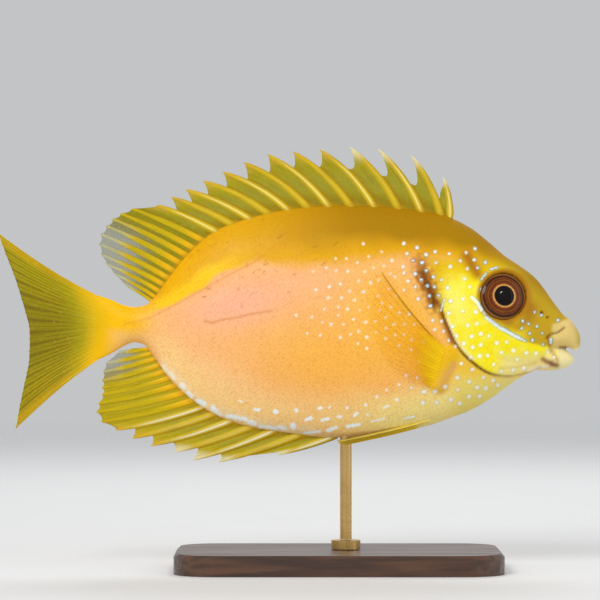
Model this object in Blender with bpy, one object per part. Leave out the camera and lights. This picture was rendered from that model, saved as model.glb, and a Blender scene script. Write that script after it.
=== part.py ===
"""A life-size bluespotted rabbitfish (Siganus corallinus) on a plain display stand.

The fish heads towards +X and its back is +Z. X 0 is the middle of its total length, Y 0 its mid-plane, and
Z 0 the underside of the stand. Sizes below are in millimetres: "ahead" is X and "up" is Z. Blender gets them
in metres.
"""

import math

import bmesh
import bpy
import numpy as np
from mathutils import Matrix

MM = 0.001
WELD = 0.00001  # metres: points closer than this are joined after a Boolean

# Driving dimensions
FISH_DATUM = -6.7  # the fish's heights below are measured from here, the stand's from its underside
TOUCH_GAP = 0.3  # left between two nodes that meet
MEMBRANE = 0.25  # half the thickness of a fin's membrane

# The body's outline and thickness: ahead, back, height of the widest line, belly, half thickness
BODY = (
    (-63.8, 100.8, 89.8, 78.9, 1.5),
    (-60.4, 99.2, 90.0, 81.2, 2.3),
    (-57.0, 97.7, 90.4, 83.2, 2.9),
    (-53.2, 96.9, 90.8, 84.7, 3.4),
    (-50.2, 97.3, 90.6, 84.2, 3.9),
    (-46.8, 99.1, 90.1, 80.6, 4.5),
    (-41.7, 105.7, 90.0, 73.4, 5.4),
    (-34.9, 114.2, 90.4, 66.6, 6.8),
    (-24.7, 122.7, 91.6, 59.8, 8.6),
    (-12.8, 127.0, 93.2, 55.8, 10.2),
    (0.9, 129.9, 93.9, 53.7, 11.4),
    (14.5, 131.0, 94.2, 52.2, 12.2),
    (28.1, 130.9, 94.2, 52.7, 12.7),
    (38.3, 130.1, 94.2, 54.2, 12.9),
    (48.5, 128.7, 94.6, 56.4, 12.9),
    (55.3, 127.4, 94.9, 58.8, 12.6),
    (62.1, 124.1, 95.1, 61.4, 12.0),
    (68.9, 118.8, 95.2, 65.3, 11.2),
    (74.0, 114.4, 94.6, 69.0, 10.3),
    (79.1, 111.0, 93.2, 72.6, 9.3),
    (84.2, 107.1, 90.8, 75.0, 7.8),
    (87.6, 103.0, 88.9, 76.5, 6.6),
    (89.3, 100.5, 88.4, 77.7, 6.0),
    (91.0, 98.1, 88.4, 79.3, 5.4),
    (92.2, 96.6, 88.9, 81.5, 4.9),
    (93.2, 95.2, 89.6, 83.9, 4.4),
    (94.2, 94.1, 90.8, 87.2, 3.9),
    (95.0, 93.3, 92.2, 91.0, 3.2),
)
BACK_POWER, BELLY_POWER = 1.25, 1.05  # above 1 the section narrows to a keel
TAIL_END, TAIL_START = -63.8, -46.8
HEAD_AROUND, TORSO_AROUND, TAIL_AROUND = 34, 30, 24  # points round a section
SHARP_ANGLE = math.radians(35)  # edges that bend more than this stay sharp
FLESH_SOLVER = "MANIFOLD"  # the exact one leaves open slivers at the lips and the gill opening

UPPER_JAW = (
    (87.3, 86.2, 85.8, 85.4, 3.0),
    (88.5, 88.3, 86.0, 84.4, 7.0),
    (91.0, 89.2, 86.3, 84.2, 6.4),
    (93.3, 90.5, 86.7, 84.0, 5.9),
    (95.4, 92.0, 87.0, 83.6, 5.3),
    (96.7, 92.4, 87.0, 82.9, 4.7),
    (98.3, 90.7, 86.2, 82.2, 3.7),
    (99.4, 88.5, 85.8, 83.0, 2.4),
    (100.0, 86.4, 85.4, 84.2, 0.7),
)
LOWER_JAW = (
    (84.6, 79.2, 78.7, 78.2, 2.0),
    (86.0, 81.0, 78.6, 75.1, 4.9),
    (88.6, 82.1, 78.8, 75.3, 5.0),
    (91.6, 82.1, 78.8, 75.5, 4.8),
    (93.9, 82.0, 78.8, 75.9, 4.2),
    (95.7, 81.1, 78.8, 76.6, 3.4),
    (97.0, 80.1, 78.9, 77.6, 2.2),
    (97.8, 79.3, 78.8, 78.3, 0.7),
)
LIP_POWER = 0.8
LIP_AROUND = 18

# The gill opening, as angle in degrees and distance from a point on the cheek
CHEEK = (75.7, 95.9)
GILL_EDGE = (
    (110, 48.0), (122, 36.7), (136, 29.6), (159, 25.1), (172, 24.0), (182, 23.1),
    (202, 21.7), (229, 21.7), (254, 22.4), (268, 22.2), (285, 21.8), (297, 23.8), (312, 31.0),
)
COVER_FRONT = (
    (157, 17.4), (180, 15.7), (202, 15.5), (230, 16.2), (250, 16.8), (270, 17.7), (286, 19.6),
)
COVER_FIRST, COVER_LAST = 158, 285  # degrees
COVER_THICKNESS = 1.2
COVER_FLARE = 0.7  # how far the gill cover's edge stands off the trunk
FLARE_ANGLES = (145, 165, 280, 292)  # where the flare starts, is full, begins to fade and ends
FLARE_LEAD = 2.0  # how far ahead of the gill cover the flare starts
RELIEF_FADE = 2.0  # relief fades out where the body is thinner than twice this
COVER_ROWS, COVER_COLUMNS = 16, 5  # points along and across a gill cover
POCKET_OVERRUN = 0.3  # how far the pocket's cutter runs past the edge, as a share of its width
POCKET_OUT = 4.0  # how far it stands out of the head
GILL_STEPS = 50
PAST_SNOUT, PAST_SIDES = 115.0, 30.0  # the far corners of the cutter that parts head and torso

# The eye, turned about its own axis: radius from the axis, height above the skin
EYE_AT = (73.1, 100.6)
EYE_PROFILE = (
    (0.0, -4.8), (5.4, -4.5), (7.6, -3.0), (8.0, -1.2), (7.4, -0.6), (5.8, 0.1), (3.6, 0.65), (1.6, 0.87),
    (0.0, 0.9),
)
EYE_AROUND = 24
EYE_WIDEST = -2.0  # the height that parts the eye's back from its front
EYE_SLOPE_SPAN = 4.0  # the skin's slope at the eye is measured this far each way
ORBIT_RADIUS, ORBIT_RISE, ORBIT_WIDTH = 8.7, 0.5, 1.1

NOSTRILS = ((86.2, 95.0, 0.75), (88.2, 93.4, 0.6))  # ahead, up, radius

# Rays of the dorsal and anal fins: number, where it leaves the body, length, slope in degrees.
# A dorsal ray's slope is how far it leans back from upright, an anal ray's how far it hangs below level.
DORSAL_SPINES, DORSAL_RAYS = 13, 23
DORSAL = (
    (1, 54.9, 13.6, 8.5), (2, 51.9, 22.8, 26.0), (3, 45.4, 26.4, 34.5), (4, 37.6, 27.3, 38.4),
    (5, 29.4, 27.3, 43.5), (7, 13.9, 27.9, 50.0), (9, 0.3, 26.6, 60.5), (11, -12.8, 24.7, 66.5),
    (13, -24.3, 22.7, 67.5), (14, -28.9, 26.8, 67.0), (16, -34.4, 28.7, 65.0), (18, -38.9, 28.4, 64.5),
    (20, -42.4, 24.1, 66.0), (22, -45.4, 16.0, 63.0), (23, -46.7, 10.9, 62.0),
)
ANAL_SPINES, ANAL_RAYS = 7, 16
ANAL = (
    (1, 15.5, 20.0, 16.0), (2, 4.9, 30.6, 17.2), (3, -4.3, 30.4, 18.5), (4, -12.1, 28.6, 16.6),
    (5, -19.2, 29.4, 15.8), (6, -25.0, 30.0, 15.0), (7, -28.9, 31.4, 13.2), (8, -32.3, 32.6, 12.0),
    (9, -35.5, 31.0, 11.0), (11, -40.6, 24.0, 12.0), (13, -44.0, 19.5, 15.5), (15, -46.8, 14.2, 17.0),
    (16, -48.0, 10.0, 18.0),
)
# How far along each ray the membrane reaches, behind it and in front of the next one
DORSAL_WEB = (
    (1, 0.60, 0.34), (2, 0.65, 0.41), (3, 0.64, 0.47), (4, 0.77, 0.57), (5, 0.91, 0.61), (13, 0.93, 0.70),
)
ANAL_WEB = ((1, 0.95, 0.66), (3, 0.96, 0.70), (7, 0.97, 0.80))
SOFT_WEB = 0.965
EDGE_WEB = 0.85  # the same for a fin's own front and rear edges
ROOT_SHARE = 0.3  # share of the tail fin's length over which its fleshy root thins out
FIN_ROWS, LAID_ROWS = 6, 4  # points along a ray, less one, in upright fins and in those laid on the body
# A ray's ridge: its height over the fin's mid-plane and its half width at the root
SPINE_RADIUS, SPINE_WIDTH = 0.85, 0.95
SOFT_RADIUS, SOFT_WIDTH = 0.6, 0.55
RIDGE_TIP = 0.12  # its height at the tip
HEIGHT_TAPER, WIDTH_TAPER = 0.7, 0.6  # powers: under 1 keeps a ridge full until near its tip
RIDGE_MOST = 0.36  # a ridge's half width is at most this share of the way to the next ray
LINE_STEP = 0.02  # the step along a ray that gives its direction
RAY_BOW = 0.035  # how far a ray bows, as a share of its length

# The tail fin, from its upper edge (0) to its lower edge (1): share, ahead and up of the ray's tip
CAUDAL_RAYS = 9  # in each lobe
CAUDAL_ROOT = (-64.1, 100.2, 79.5)  # ahead, top, bottom
CAUDAL_EDGE = (
    (0.00, -100.0, 121.8), (0.12, -97.2, 115.0), (0.25, -94.2, 107.3), (0.37, -91.4, 98.2),
    (0.50, -89.0, 88.0), (0.63, -89.2, 79.0), (0.75, -90.6, 71.6), (0.88, -92.3, 63.4), (1.00, -93.6, 55.8),
)
CAUDAL_ROOT_HALF = 1.35
# Its ridges: half widths of its edge rays and of the others, and the height at their tips
CAUDAL_EDGE_WIDTH, CAUDAL_WIDTH, CAUDAL_TIP = 1.1, 0.6, 0.2
CAUDAL_BOW = 0.06
CAUDAL_WEB = 0.985

# The pectoral fin, from its upper ray (0) to its lowest (1): share, length, direction in degrees
PECTORAL_RAYS = 13
PECTORAL_ROOT = ((53.7, 81.8), (49.6, 69.8))
PECTORAL = (
    (0.0, 35.0, 129.5), (0.1, 37.0, 132.5), (0.25, 35.0, 138.5), (0.5, 28.6, 147.5), (0.75, 20.0, 158.0),
    (1.0, 8.5, 167.0),
)
PECTORAL_RADIUS, PECTORAL_WIDTH, PECTORAL_TIP = 0.5, 0.45, 0.15
PECTORAL_BOW, PECTORAL_WEB = 0.03, 0.975
PECTORAL_LIFT, PECTORAL_LIFT_POWER = 2.6, 1.6  # how far its tip is off the flank, and how late it leaves it
PECTORAL_SEAT = 0.85  # its middle's distance from the flank at the root

# The pelvic fin, folded under the belly: outer spine, three rays, inner spine. Ahead, out, up of root and tip
PELVIC_RAYS = 5
PELVIC_OUTER = ((46.8, 3.9, 56.6), (16.6, 5.2, 50.9))
PELVIC_INNER = ((43.2, 1.4, 54.2), (18.2, 3.3, 49.7))
PELVIC_NORMAL = (0.0, 0.7, -0.71)
PELVIC_SPINE_RADIUS, PELVIC_SPINE_WIDTH = 0.65, 0.6
PELVIC_SOFT_RADIUS, PELVIC_SOFT_WIDTH = 0.45, 0.4
PELVIC_BOW, PELVIC_WEB = 0.012, 0.93

# The stand
ROD_AT, ROD_RADIUS, ROD_TOP = 19.5, 2.0, 51.3
BASE_AT, BASE_LENGTH, BASE_WIDTH, BASE_HEIGHT = 17.0, 112.0, 64.0, 7.0
BASE_CORNER, BASE_BEVEL, BASE_CORNER_STEPS = 14.0, 1.2, 6
COLLAR_RADIUS, COLLAR_HEIGHT = 5.0, 3.0
ROUND_STEPS = 24  # sides of a round rod


def curve_through(points):
    """A function that passes smoothly through (x, y) points and doesn't overshoot between them."""
    xs, ys = (np.array(column, float) for column in zip(*points))
    steps = np.diff(xs)
    rises = np.diff(ys) / steps
    slopes = np.zeros(len(xs))
    slopes[0], slopes[-1] = rises[0], rises[-1]
    for i in range(1, len(xs) - 1):
        if rises[i - 1] * rises[i] > 0:
            near, far = 2 * steps[i] + steps[i - 1], steps[i] + 2 * steps[i - 1]
            slopes[i] = (near + far) / (near / rises[i - 1] + far / rises[i])

    def value(x):
        x = np.clip(x, xs[0], xs[-1])
        i = np.clip(np.searchsorted(xs, x) - 1, 0, len(steps) - 1)
        t = (x - xs[i]) / steps[i]
        return (
            ys[i] * (1 + 2 * t) * (1 - t) ** 2
            + ys[i + 1] * t * t * (3 - 2 * t)
            + steps[i] * (slopes[i] * t * (1 - t) ** 2 - slopes[i + 1] * t * t * (1 - t))
        )

    return value


def column(table, index):
    """The smooth curve of one column of a table against its first."""
    return curve_through([(row[0], row[index]) for row in table])


def smooth_step(low, high, x):
    t = np.clip((x - low) / (high - low), 0, 1)
    return t * t * (3 - 2 * t)


class Section:
    """The cross-sections of a long body, from its table of stations."""

    def __init__(self, table, back_power, belly_power):
        self.back, self.widest, self.belly, self.half = (column(table, i) for i in (1, 2, 3, 4))
        self.powers = back_power, belly_power

    def half_at(self, x, z):
        """Half the body's thickness at a point of its side view."""
        middle = self.widest(x)
        above = z > middle
        reach = np.where(above, self.back(x) - middle, middle - self.belly(x))
        share = np.clip(np.abs(z - middle) / reach, 0, 1)
        power = np.where(above, *self.powers)
        return self.half(x) * (1 - share * share) ** (power / 2)

    def ring(self, x, around, grow=0.0):
        """The points of one section, from the back down the right side (-Y) and up the left."""
        angles = np.arange(around) * 2 * math.pi / around
        rise, out = np.cos(angles), np.sin(angles)
        middle = self.widest(x)
        reach = np.where(rise > 0, self.back(x) - middle, middle - self.belly(x)) + grow
        power = np.where(rise > 0, *self.powers)
        y = -np.sign(out) * (self.half(x) + grow) * np.abs(out) ** power
        return np.stack([np.full(around, float(x)), y, middle + reach * rise], axis=1)


def places_between(low, high, spacing):
    """Evenly spaced places from low to high, about this far apart."""
    return np.linspace(low, high, max(2, round((high - low) / spacing) + 1))


BODY_SECTION = Section(BODY, BACK_POWER, BELLY_POWER)
GILL_RADIUS = curve_through(GILL_EDGE)
COVER_RADIUS = curve_through(COVER_FRONT)
HEAD_PLACES = [*places_between(50.0, 87.6, 2.7), *places_between(88.5, 95.0, 0.95)]
TORSO_PLACES = [*places_between(TAIL_START, -24.7, 2.4), *places_between(-21.0, 86.0, 4.0)]
TAIL_PLACES = places_between(TAIL_END, TAIL_START - TOUCH_GAP, 1.9)


def polar(x, z):
    """Angle in degrees, from 0 to 360, and distance of a point from the cheek's centre."""
    dx, dz = x - CHEEK[0], z - CHEEK[1]
    return np.degrees(np.arctan2(dz, dx)) % 360, np.hypot(dx, dz)


def head_relief(x, z):
    """How far the head's side stands out of the plain body, round the eye and at the gill cover's edge."""
    rim = np.hypot(x - EYE_AT[0], z - EYE_AT[1]) - ORBIT_RADIUS
    angle, distance = polar(x, z)
    flare = smooth_step(COVER_RADIUS(angle) - FLARE_LEAD, GILL_RADIUS(angle), distance)
    flare *= smooth_step(*FLARE_ANGLES[:2], angle) * (1 - smooth_step(*FLARE_ANGLES[2:], angle))
    return ORBIT_RISE * np.exp(-((rim / ORBIT_WIDTH) ** 2)) + COVER_FLARE * flare


def head_half(x, z):
    """Half the head's thickness with its relief."""
    plain = BODY_SECTION.half_at(x, z)
    return plain + head_relief(x, z) * np.clip(plain / RELIEF_FADE, 0, 1)


def material(name, colour, roughness, metallic=0.0):
    made = bpy.data.materials.new(name)
    made.use_nodes = True
    shader = made.node_tree.nodes["Principled BSDF"]
    shader.inputs["Base Color"].default_value = (*colour, 1)
    shader.inputs["Roughness"].default_value = roughness
    shader.inputs["Metallic"].default_value = metallic
    return made


def smooth_faces(mesh):
    mesh.shade_smooth()
    mesh.set_sharp_from_angle(angle=SHARP_ANGLE)


def new_object(name, points, faces, finish=None):
    """A mesh object from points in millimetres, with its faces turned outwards."""
    mesh = bpy.data.meshes.new(name)
    mesh.from_pydata((np.asarray(points, float) * MM).tolist(), [], faces)
    work = bmesh.new()
    work.from_mesh(mesh)
    bmesh.ops.recalc_face_normals(work, faces=work.faces)
    if work.calc_volume(signed=True) < 0:
        bmesh.ops.reverse_faces(work, faces=work.faces)
    work.to_mesh(mesh)
    work.free()
    smooth_faces(mesh)
    made = bpy.data.objects.new(name, mesh)
    bpy.context.scene.collection.objects.link(made)
    if finish:
        mesh.materials.append(finish)
    return made


def boolean(target, cutter, operation, solver="EXACT"):
    """Applies one Boolean and keeps the largest closed surface. The cutter is removed."""
    modifier = target.modifiers.new(operation.title(), "BOOLEAN")
    modifier.operation, modifier.object, modifier.solver = operation, cutter, solver
    graph = bpy.context.evaluated_depsgraph_get()
    mesh = bpy.data.meshes.new_from_object(target.evaluated_get(graph))
    target.modifiers.clear()
    target.data = mesh
    bpy.data.objects.remove(cutter)
    keep_largest(mesh)
    smooth_faces(mesh)


def keep_largest(mesh):
    """Leaves a mesh only its largest closed surface, and welds the slivers that a Boolean leaves."""
    work = bmesh.new()
    work.from_mesh(mesh)
    left, groups = set(work.verts), []
    while left:
        group, edge = set(), [left.pop()]
        while edge:
            vertex = edge.pop()
            group.add(vertex)
            for link in vertex.link_edges:
                other = link.other_vert(vertex)
                if other in left:
                    left.discard(other)
                    edge.append(other)
        groups.append(group)
    groups.sort(key=len)
    for group in groups[:-1]:
        bmesh.ops.delete(work, geom=list(group), context="VERTS")
    bmesh.ops.remove_doubles(work, verts=work.verts, dist=WELD)
    bmesh.ops.dissolve_degenerate(work, edges=work.edges, dist=WELD)
    bmesh.ops.recalc_face_normals(work, faces=work.faces)
    work.to_mesh(mesh)
    work.free()


def loft(name, section, places, around, finish=None, relief=None, grow=0.0):
    """A closed solid through the sections at these places, with flat ends."""
    rings = [section.ring(x, around, grow) for x in places]
    if grow:
        rings[0][:, 0] -= grow
        rings[-1][:, 0] += grow
    points = np.concatenate(rings)
    if relief:
        half = np.abs(points[:, 1])
        fade = np.clip(half / RELIEF_FADE, 0, 1)
        points[:, 1] += np.sign(points[:, 1]) * relief(points[:, 0], points[:, 2]) * fade
    faces = []
    for i in range(len(rings) - 1):
        for k in range(around):
            a, b = i * around + k, i * around + (k + 1) % around
            faces.append((a, b, b + around, a + around))
    last = (len(rings) - 1) * around
    faces += [tuple(range(around)), tuple(range(last, last + around))]
    return new_object(name, points, faces, finish)


def prism_faces(count, levels=2):
    """The faces of a solid whose outline of count points is repeated at each level."""
    faces = [tuple(range(count)), tuple(range((levels - 1) * count, levels * count))]
    for level in range(0, (levels - 1) * count, count):
        for k in range(count):
            n = (k + 1) % count
            faces.append((level + k, level + n, level + count + n, level + count + k))
    return faces


def plate_faces(rows, columns):
    """The faces of a closed plate: a grid of rows by columns points for each face, and the rim between."""
    layer = rows * columns
    faces = []
    for i in range(rows - 1):
        for k in range(columns - 1):
            a, b = i * columns + k, (i + 1) * columns + k
            for n in (0, layer):
                faces += [(a + n, b + n, b + 1 + n), (a + n, b + 1 + n, a + 1 + n)]
    rim = [*range(columns), *(i * columns + columns - 1 for i in range(1, rows))]
    rim += [layer - 1 - k for k in range(1, columns)]
    rim += [i * columns for i in range(rows - 2, 0, -1)]
    faces += [(rim[i - 1], rim[i], rim[i] + layer, rim[i - 1] + layer) for i in range(len(rim))]
    return faces


def from_cheek(angle, reach):
    """The point of the side view at this angle in degrees and distance from the cheek's centre."""
    turn = math.radians(angle)
    return CHEEK[0] + reach * math.cos(turn), CHEEK[1] + reach * math.sin(turn)


def head_prism(grow=0.0):
    """Everything ahead of the gill opening."""
    angles = np.linspace(GILL_EDGE[0][0], GILL_EDGE[-1][0], GILL_STEPS)
    outline = [from_cheek(angle, GILL_RADIUS(angle) + grow) for angle in angles]
    outline += [(PAST_SNOUT, outline[-1][1]), (PAST_SNOUT, outline[0][1])]
    points = [(x, y, z) for y in (-PAST_SIDES, PAST_SIDES) for x, z in outline]
    return new_object("head_prism", points, prism_faces(len(outline)))


def cover_patch(name, side, finish=None, grow=0.0, out=0.0):
    """A gill cover, or with grow its pocket, as a plate between two curves of the side view."""
    margin = math.degrees(grow / COVER_FRONT[0][1])
    last_share = 1 + (POCKET_OVERRUN if grow else 0)
    points = []
    for outer in (True, False):
        for angle in np.linspace(COVER_FIRST - margin, COVER_LAST + margin, COVER_ROWS):
            start, end = COVER_RADIUS(angle) - grow, GILL_RADIUS(angle)
            for share in np.linspace(0, last_share, COVER_COLUMNS):
                x, z = from_cheek(angle, start + (end - start) * share)
                half = float(head_half(x, z))
                y = half + out if outer else half - COVER_THICKNESS - grow
                points.append((x, side * y, z))
    return new_object(name, points, plate_faces(COVER_ROWS, COVER_COLUMNS), finish)


def eye_frame(side):
    """A point on the skin at the eye, and the axes of the eye: two across it and one out of the head."""
    x, z = EYE_AT
    step = EYE_SLOPE_SPAN
    slope_x = (BODY_SECTION.half_at(x + step, z) - BODY_SECTION.half_at(x - step, z)) / (2 * step)
    slope_z = (BODY_SECTION.half_at(x, z + step) - BODY_SECTION.half_at(x, z - step)) / (2 * step)
    out = np.array([-slope_x, side, -slope_z])
    out /= np.linalg.norm(out)
    ahead = np.cross((0, 0, 1), out)
    ahead /= np.linalg.norm(ahead)
    return np.array([x, side * float(BODY_SECTION.half_at(x, z)), z]), ahead, np.cross(out, ahead), out


def turned_eye(name, side, finish=None, grow=0.0):
    """An eyeball, or with grow the socket that it sits in."""
    centre, ahead, up, out = eye_frame(side)
    profile = [(r + grow if r else 0, h + (grow if h > EYE_WIDEST else -grow)) for r, h in EYE_PROFILE]
    points, rings = [], []
    for radius, height in profile:
        if radius == 0:
            rings.append([len(points)])
            points.append(centre + out * height)
            continue
        rings.append(list(range(len(points), len(points) + EYE_AROUND)))
        for k in range(EYE_AROUND):
            turn = 2 * math.pi * k / EYE_AROUND
            points.append(centre + out * height + radius * (ahead * math.cos(turn) + up * math.sin(turn)))
    faces = []
    for low, high in zip(rings, rings[1:]):
        for k in range(EYE_AROUND):
            n = (k + 1) % EYE_AROUND
            if len(low) == 1:
                faces.append((low[0], high[k], high[n]))
            elif len(high) == 1:
                faces.append((low[k], low[n], high[0]))
            else:
                faces.append((low[k], low[n], high[n], high[k]))
    return new_object(name, points, faces, finish)


def ball(name, centre, radius):
    mesh = bpy.data.meshes.new(name)
    work = bmesh.new()
    bmesh.ops.create_icosphere(work, subdivisions=2, radius=radius * MM)
    bmesh.ops.translate(work, verts=work.verts, vec=[c * MM for c in centre])
    work.to_mesh(mesh)
    work.free()
    made = bpy.data.objects.new(name, mesh)
    bpy.context.scene.collection.objects.link(made)
    return made


def cylinder(name, x, radius, low, high, finish=None):
    """An upright round rod or hole on the mid-plane."""
    points = []
    for z in (low, high):
        for k in range(ROUND_STEPS):
            turn = 2 * math.pi * k / ROUND_STEPS
            points.append((x + radius * math.cos(turn), radius * math.sin(turn), z))
    return new_object(name, points, prism_faces(ROUND_STEPS), finish)


class Ray:
    """One fin ray: a line from root to tip that may bow, and the size of the ridge that it makes."""

    def __init__(self, line, radius, width, tip_radius=RIDGE_TIP):
        self.line, self.radius, self.width, self.tip_radius = line, radius, width, tip_radius

    def half_thickness(self, t):
        return self.tip_radius + (self.radius - self.tip_radius) * (1 - t) ** HEIGHT_TAPER

    def half_width(self, t):
        return self.width * (1 - t) ** WIDTH_TAPER


def bowed_line(root, tip, bow):
    """A line from root to tip that bows to one side in the plane of the side view."""
    root, tip = np.array(root, float), np.array(tip, float)
    along = tip - root
    aside = np.array([-along[2], 0.0, along[0]]) * bow * 4
    return lambda t: root + along * t + aside * t * (1 - t)


def beside(rays, i, step, reach, shared=False):
    """A point beside ray i, on the side of its neighbour i + step and reach along it: the foot of its ridge,
    or with shared half way to where the next ray would be."""
    here = rays[i].line(reach)
    other = i + step
    if 0 <= other < len(rays):
        towards = rays[other].line(reach) - here
    else:
        towards = here - rays[i - step].line(reach)
    further = min(reach + LINE_STEP, 1)
    along = rays[i].line(further) - rays[i].line(further - LINE_STEP)
    along /= np.linalg.norm(along)
    towards -= along * towards.dot(along)
    gap = np.linalg.norm(towards)
    if shared:
        return here + towards / gap * (gap / 2 - TOUCH_GAP / 2)
    return here + towards / gap * min(rays[i].half_width(reach), RIDGE_MOST * gap)


def fin(
    name, rays, webs, finish, rows, normal=(0, 1, 0), seat=None, shared=(False, False), root_half=MEMBRANE
):
    """A fin as one closed sheet: each ray a ridge of it, with the membrane between.

    webs gives, for each ray, how far along it the membrane reaches behind it and in front of the next. seat
    moves the points of the root line onto what the fin grows from. shared says whether the first and last
    edges meet another part of the same fin. root_half is half the membrane's thickness at the root."""
    columns = []
    shares = np.linspace(0, 1, rows + 1)
    web_halves = MEMBRANE + (root_half - MEMBRANE) * np.clip(1 - shares / ROOT_SHARE, 0, 1) ** 2
    for i, ray in enumerate(rays):
        is_first, is_last = i == 0, i == len(rays) - 1
        front = EDGE_WEB if is_first and not shared[0] else webs[i - 1][1]
        behind = EDGE_WEB if is_last and not shared[1] else webs[i][0]
        before = [beside(rays, i, -1, t * front, is_first and shared[0]) for t in shares]
        after = [beside(rays, i, 1, t * behind, is_last and shared[1]) for t in shares]
        columns.append(list(zip(before, web_halves)))
        ridge = [max(ray.half_thickness(t), half) for t, half in zip(shares, web_halves)]
        columns.append([(ray.line(t), half) for t, half in zip(shares, ridge)])
        columns.append(list(zip(after, web_halves)))
    points = np.array([[p for p, _ in c] for c in columns])
    halves = np.array([[h for _, h in c] for c in columns])
    if seat:
        points[:, 0] = [seat(p) for p in points[:, 0]]
    return sheet(name, points, halves, np.array(normal, float), finish)


def sheet(name, points, halves, normal, finish):
    """A closed solid from a grid of middle points, half as thick on each side as halves says."""
    shift = halves[:, :, None] * normal
    layers = np.concatenate([(points + shift).reshape(-1, 3), (points - shift).reshape(-1, 3)])
    return new_object(name, layers, plate_faces(*halves.shape), finish)


def web_table(table, first, last, spines):
    """The membrane's reach for each ray: notched between spines, even between soft rays."""
    behind, ahead = column(table, 1), column(table, 2)
    webs = []
    for number in range(first, last + 1):
        if number < spines:
            webs.append((float(behind(number)), float(ahead(number))))
        else:
            webs.append((SOFT_WEB, SOFT_WEB))
    return webs


def median_rays(table, first, last, spines, up):
    """The rays of the dorsal fin (up 1) or anal fin (up -1)."""
    root_x, length, slope = (column(table, i) for i in (1, 2, 3))
    edge = BODY_SECTION.back if up > 0 else BODY_SECTION.belly
    rays = []
    for number in range(first, last + 1):
        x = float(root_x(number))
        z = float(edge(x)) + up * TOUCH_GAP
        lean = math.radians(float(slope(number)))
        run, rise = (math.sin(lean), math.cos(lean)) if up > 0 else (math.cos(lean), math.sin(lean))
        reach = float(length(number))
        tip = (x - run * reach, 0, z + up * rise * reach)
        hard = number <= spines
        line = bowed_line((x, 0, z), tip, -up * RAY_BOW)
        rays.append(Ray(line, SPINE_RADIUS if hard else SOFT_RADIUS, SPINE_WIDTH if hard else SOFT_WIDTH))
    return rays


def median_fin(name, table, web, first, last, spines, up, finish):
    """The part of the dorsal fin (up 1) or anal fin (up -1) from ray first to ray last."""
    edge = BODY_SECTION.back if up > 0 else BODY_SECTION.belly

    def seat(point):
        return np.array([point[0], 0, float(edge(point[0])) + up * TOUCH_GAP])

    rays = median_rays(table, first, last, spines, up)
    return fin(name, rays, web_table(web, first, last, spines), finish, FIN_ROWS, seat=seat)


def caudal_lobe(name, low, high, finish):
    """One lobe of the tail fin, between two shares of the way from its upper to its lower edge."""
    tip_x, tip_z = column(CAUDAL_EDGE, 1), column(CAUDAL_EDGE, 2)
    root_x, top, bottom = CAUDAL_ROOT
    rays = []
    for share in np.linspace(low, high, CAUDAL_RAYS):
        root = (root_x, 0, top + (bottom - top) * share)
        tip = (float(tip_x(share)), 0, float(tip_z(share)))
        line = bowed_line(root, tip, CAUDAL_BOW * (0.5 - share))
        width = CAUDAL_EDGE_WIDTH if share in (0, 1) else CAUDAL_WIDTH
        rays.append(Ray(line, CAUDAL_ROOT_HALF, width, CAUDAL_TIP))

    def seat(point):
        return np.array([root_x, 0, point[2]])

    webs = [(CAUDAL_WEB, CAUDAL_WEB)] * CAUDAL_RAYS
    edges = low > 0, high < 1
    return fin(name, rays, webs, finish, FIN_ROWS, seat=seat, shared=edges, root_half=CAUDAL_ROOT_HALF)


def pectoral_fin(name, side, finish):
    """A pectoral fin laid back along the flank, its tip a little off it."""
    length, direction = column(PECTORAL, 1), column(PECTORAL, 2)
    (upper_x, upper_z), (lower_x, lower_z) = PECTORAL_ROOT
    longest = max(row[1] for row in PECTORAL)

    def laid(root, tip):
        flat = bowed_line(root, tip, PECTORAL_BOW)

        def line(t):
            x, _, z = flat(t)
            away = math.hypot(x - root[0], z - root[2])
            lift = PECTORAL_SEAT + PECTORAL_LIFT * (away / longest) ** PECTORAL_LIFT_POWER
            return np.array([x, side * (float(BODY_SECTION.half_at(x, z)) + lift), z])

        return line

    rays = []
    for share in np.linspace(0, 1, PECTORAL_RAYS):
        turn, reach = math.radians(float(direction(share))), float(length(share))
        root = (upper_x + (lower_x - upper_x) * share, 0, upper_z + (lower_z - upper_z) * share)
        tip = (root[0] + reach * math.cos(turn), 0, root[2] + reach * math.sin(turn))
        rays.append(Ray(laid(root, tip), PECTORAL_RADIUS, PECTORAL_WIDTH, PECTORAL_TIP))
    webs = [(PECTORAL_WEB, PECTORAL_WEB)] * PECTORAL_RAYS
    return fin(name, rays, webs, finish, LAID_ROWS, root_half=PECTORAL_RADIUS)


def pelvic_fin(name, side, finish):
    """A pelvic fin, folded back under the belly: a spine at each edge and three rays between."""
    rays = []
    mirror = np.array([1, side, 1])
    outer, inner = np.array(PELVIC_OUTER) * mirror, np.array(PELVIC_INNER) * mirror
    for share in np.linspace(0, 1, PELVIC_RAYS):
        root, tip = outer * (1 - share) + inner * share
        line = bowed_line(root, tip, PELVIC_BOW)
        if share in (0, 1):
            rays.append(Ray(line, PELVIC_SPINE_RADIUS, PELVIC_SPINE_WIDTH))
        else:
            rays.append(Ray(line, PELVIC_SOFT_RADIUS, PELVIC_SOFT_WIDTH))
    webs = [(PELVIC_WEB, PELVIC_WEB)] * PELVIC_RAYS
    return fin(name, rays, webs, finish, LAID_ROWS, normal=np.array(PELVIC_NORMAL) * mirror)


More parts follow.
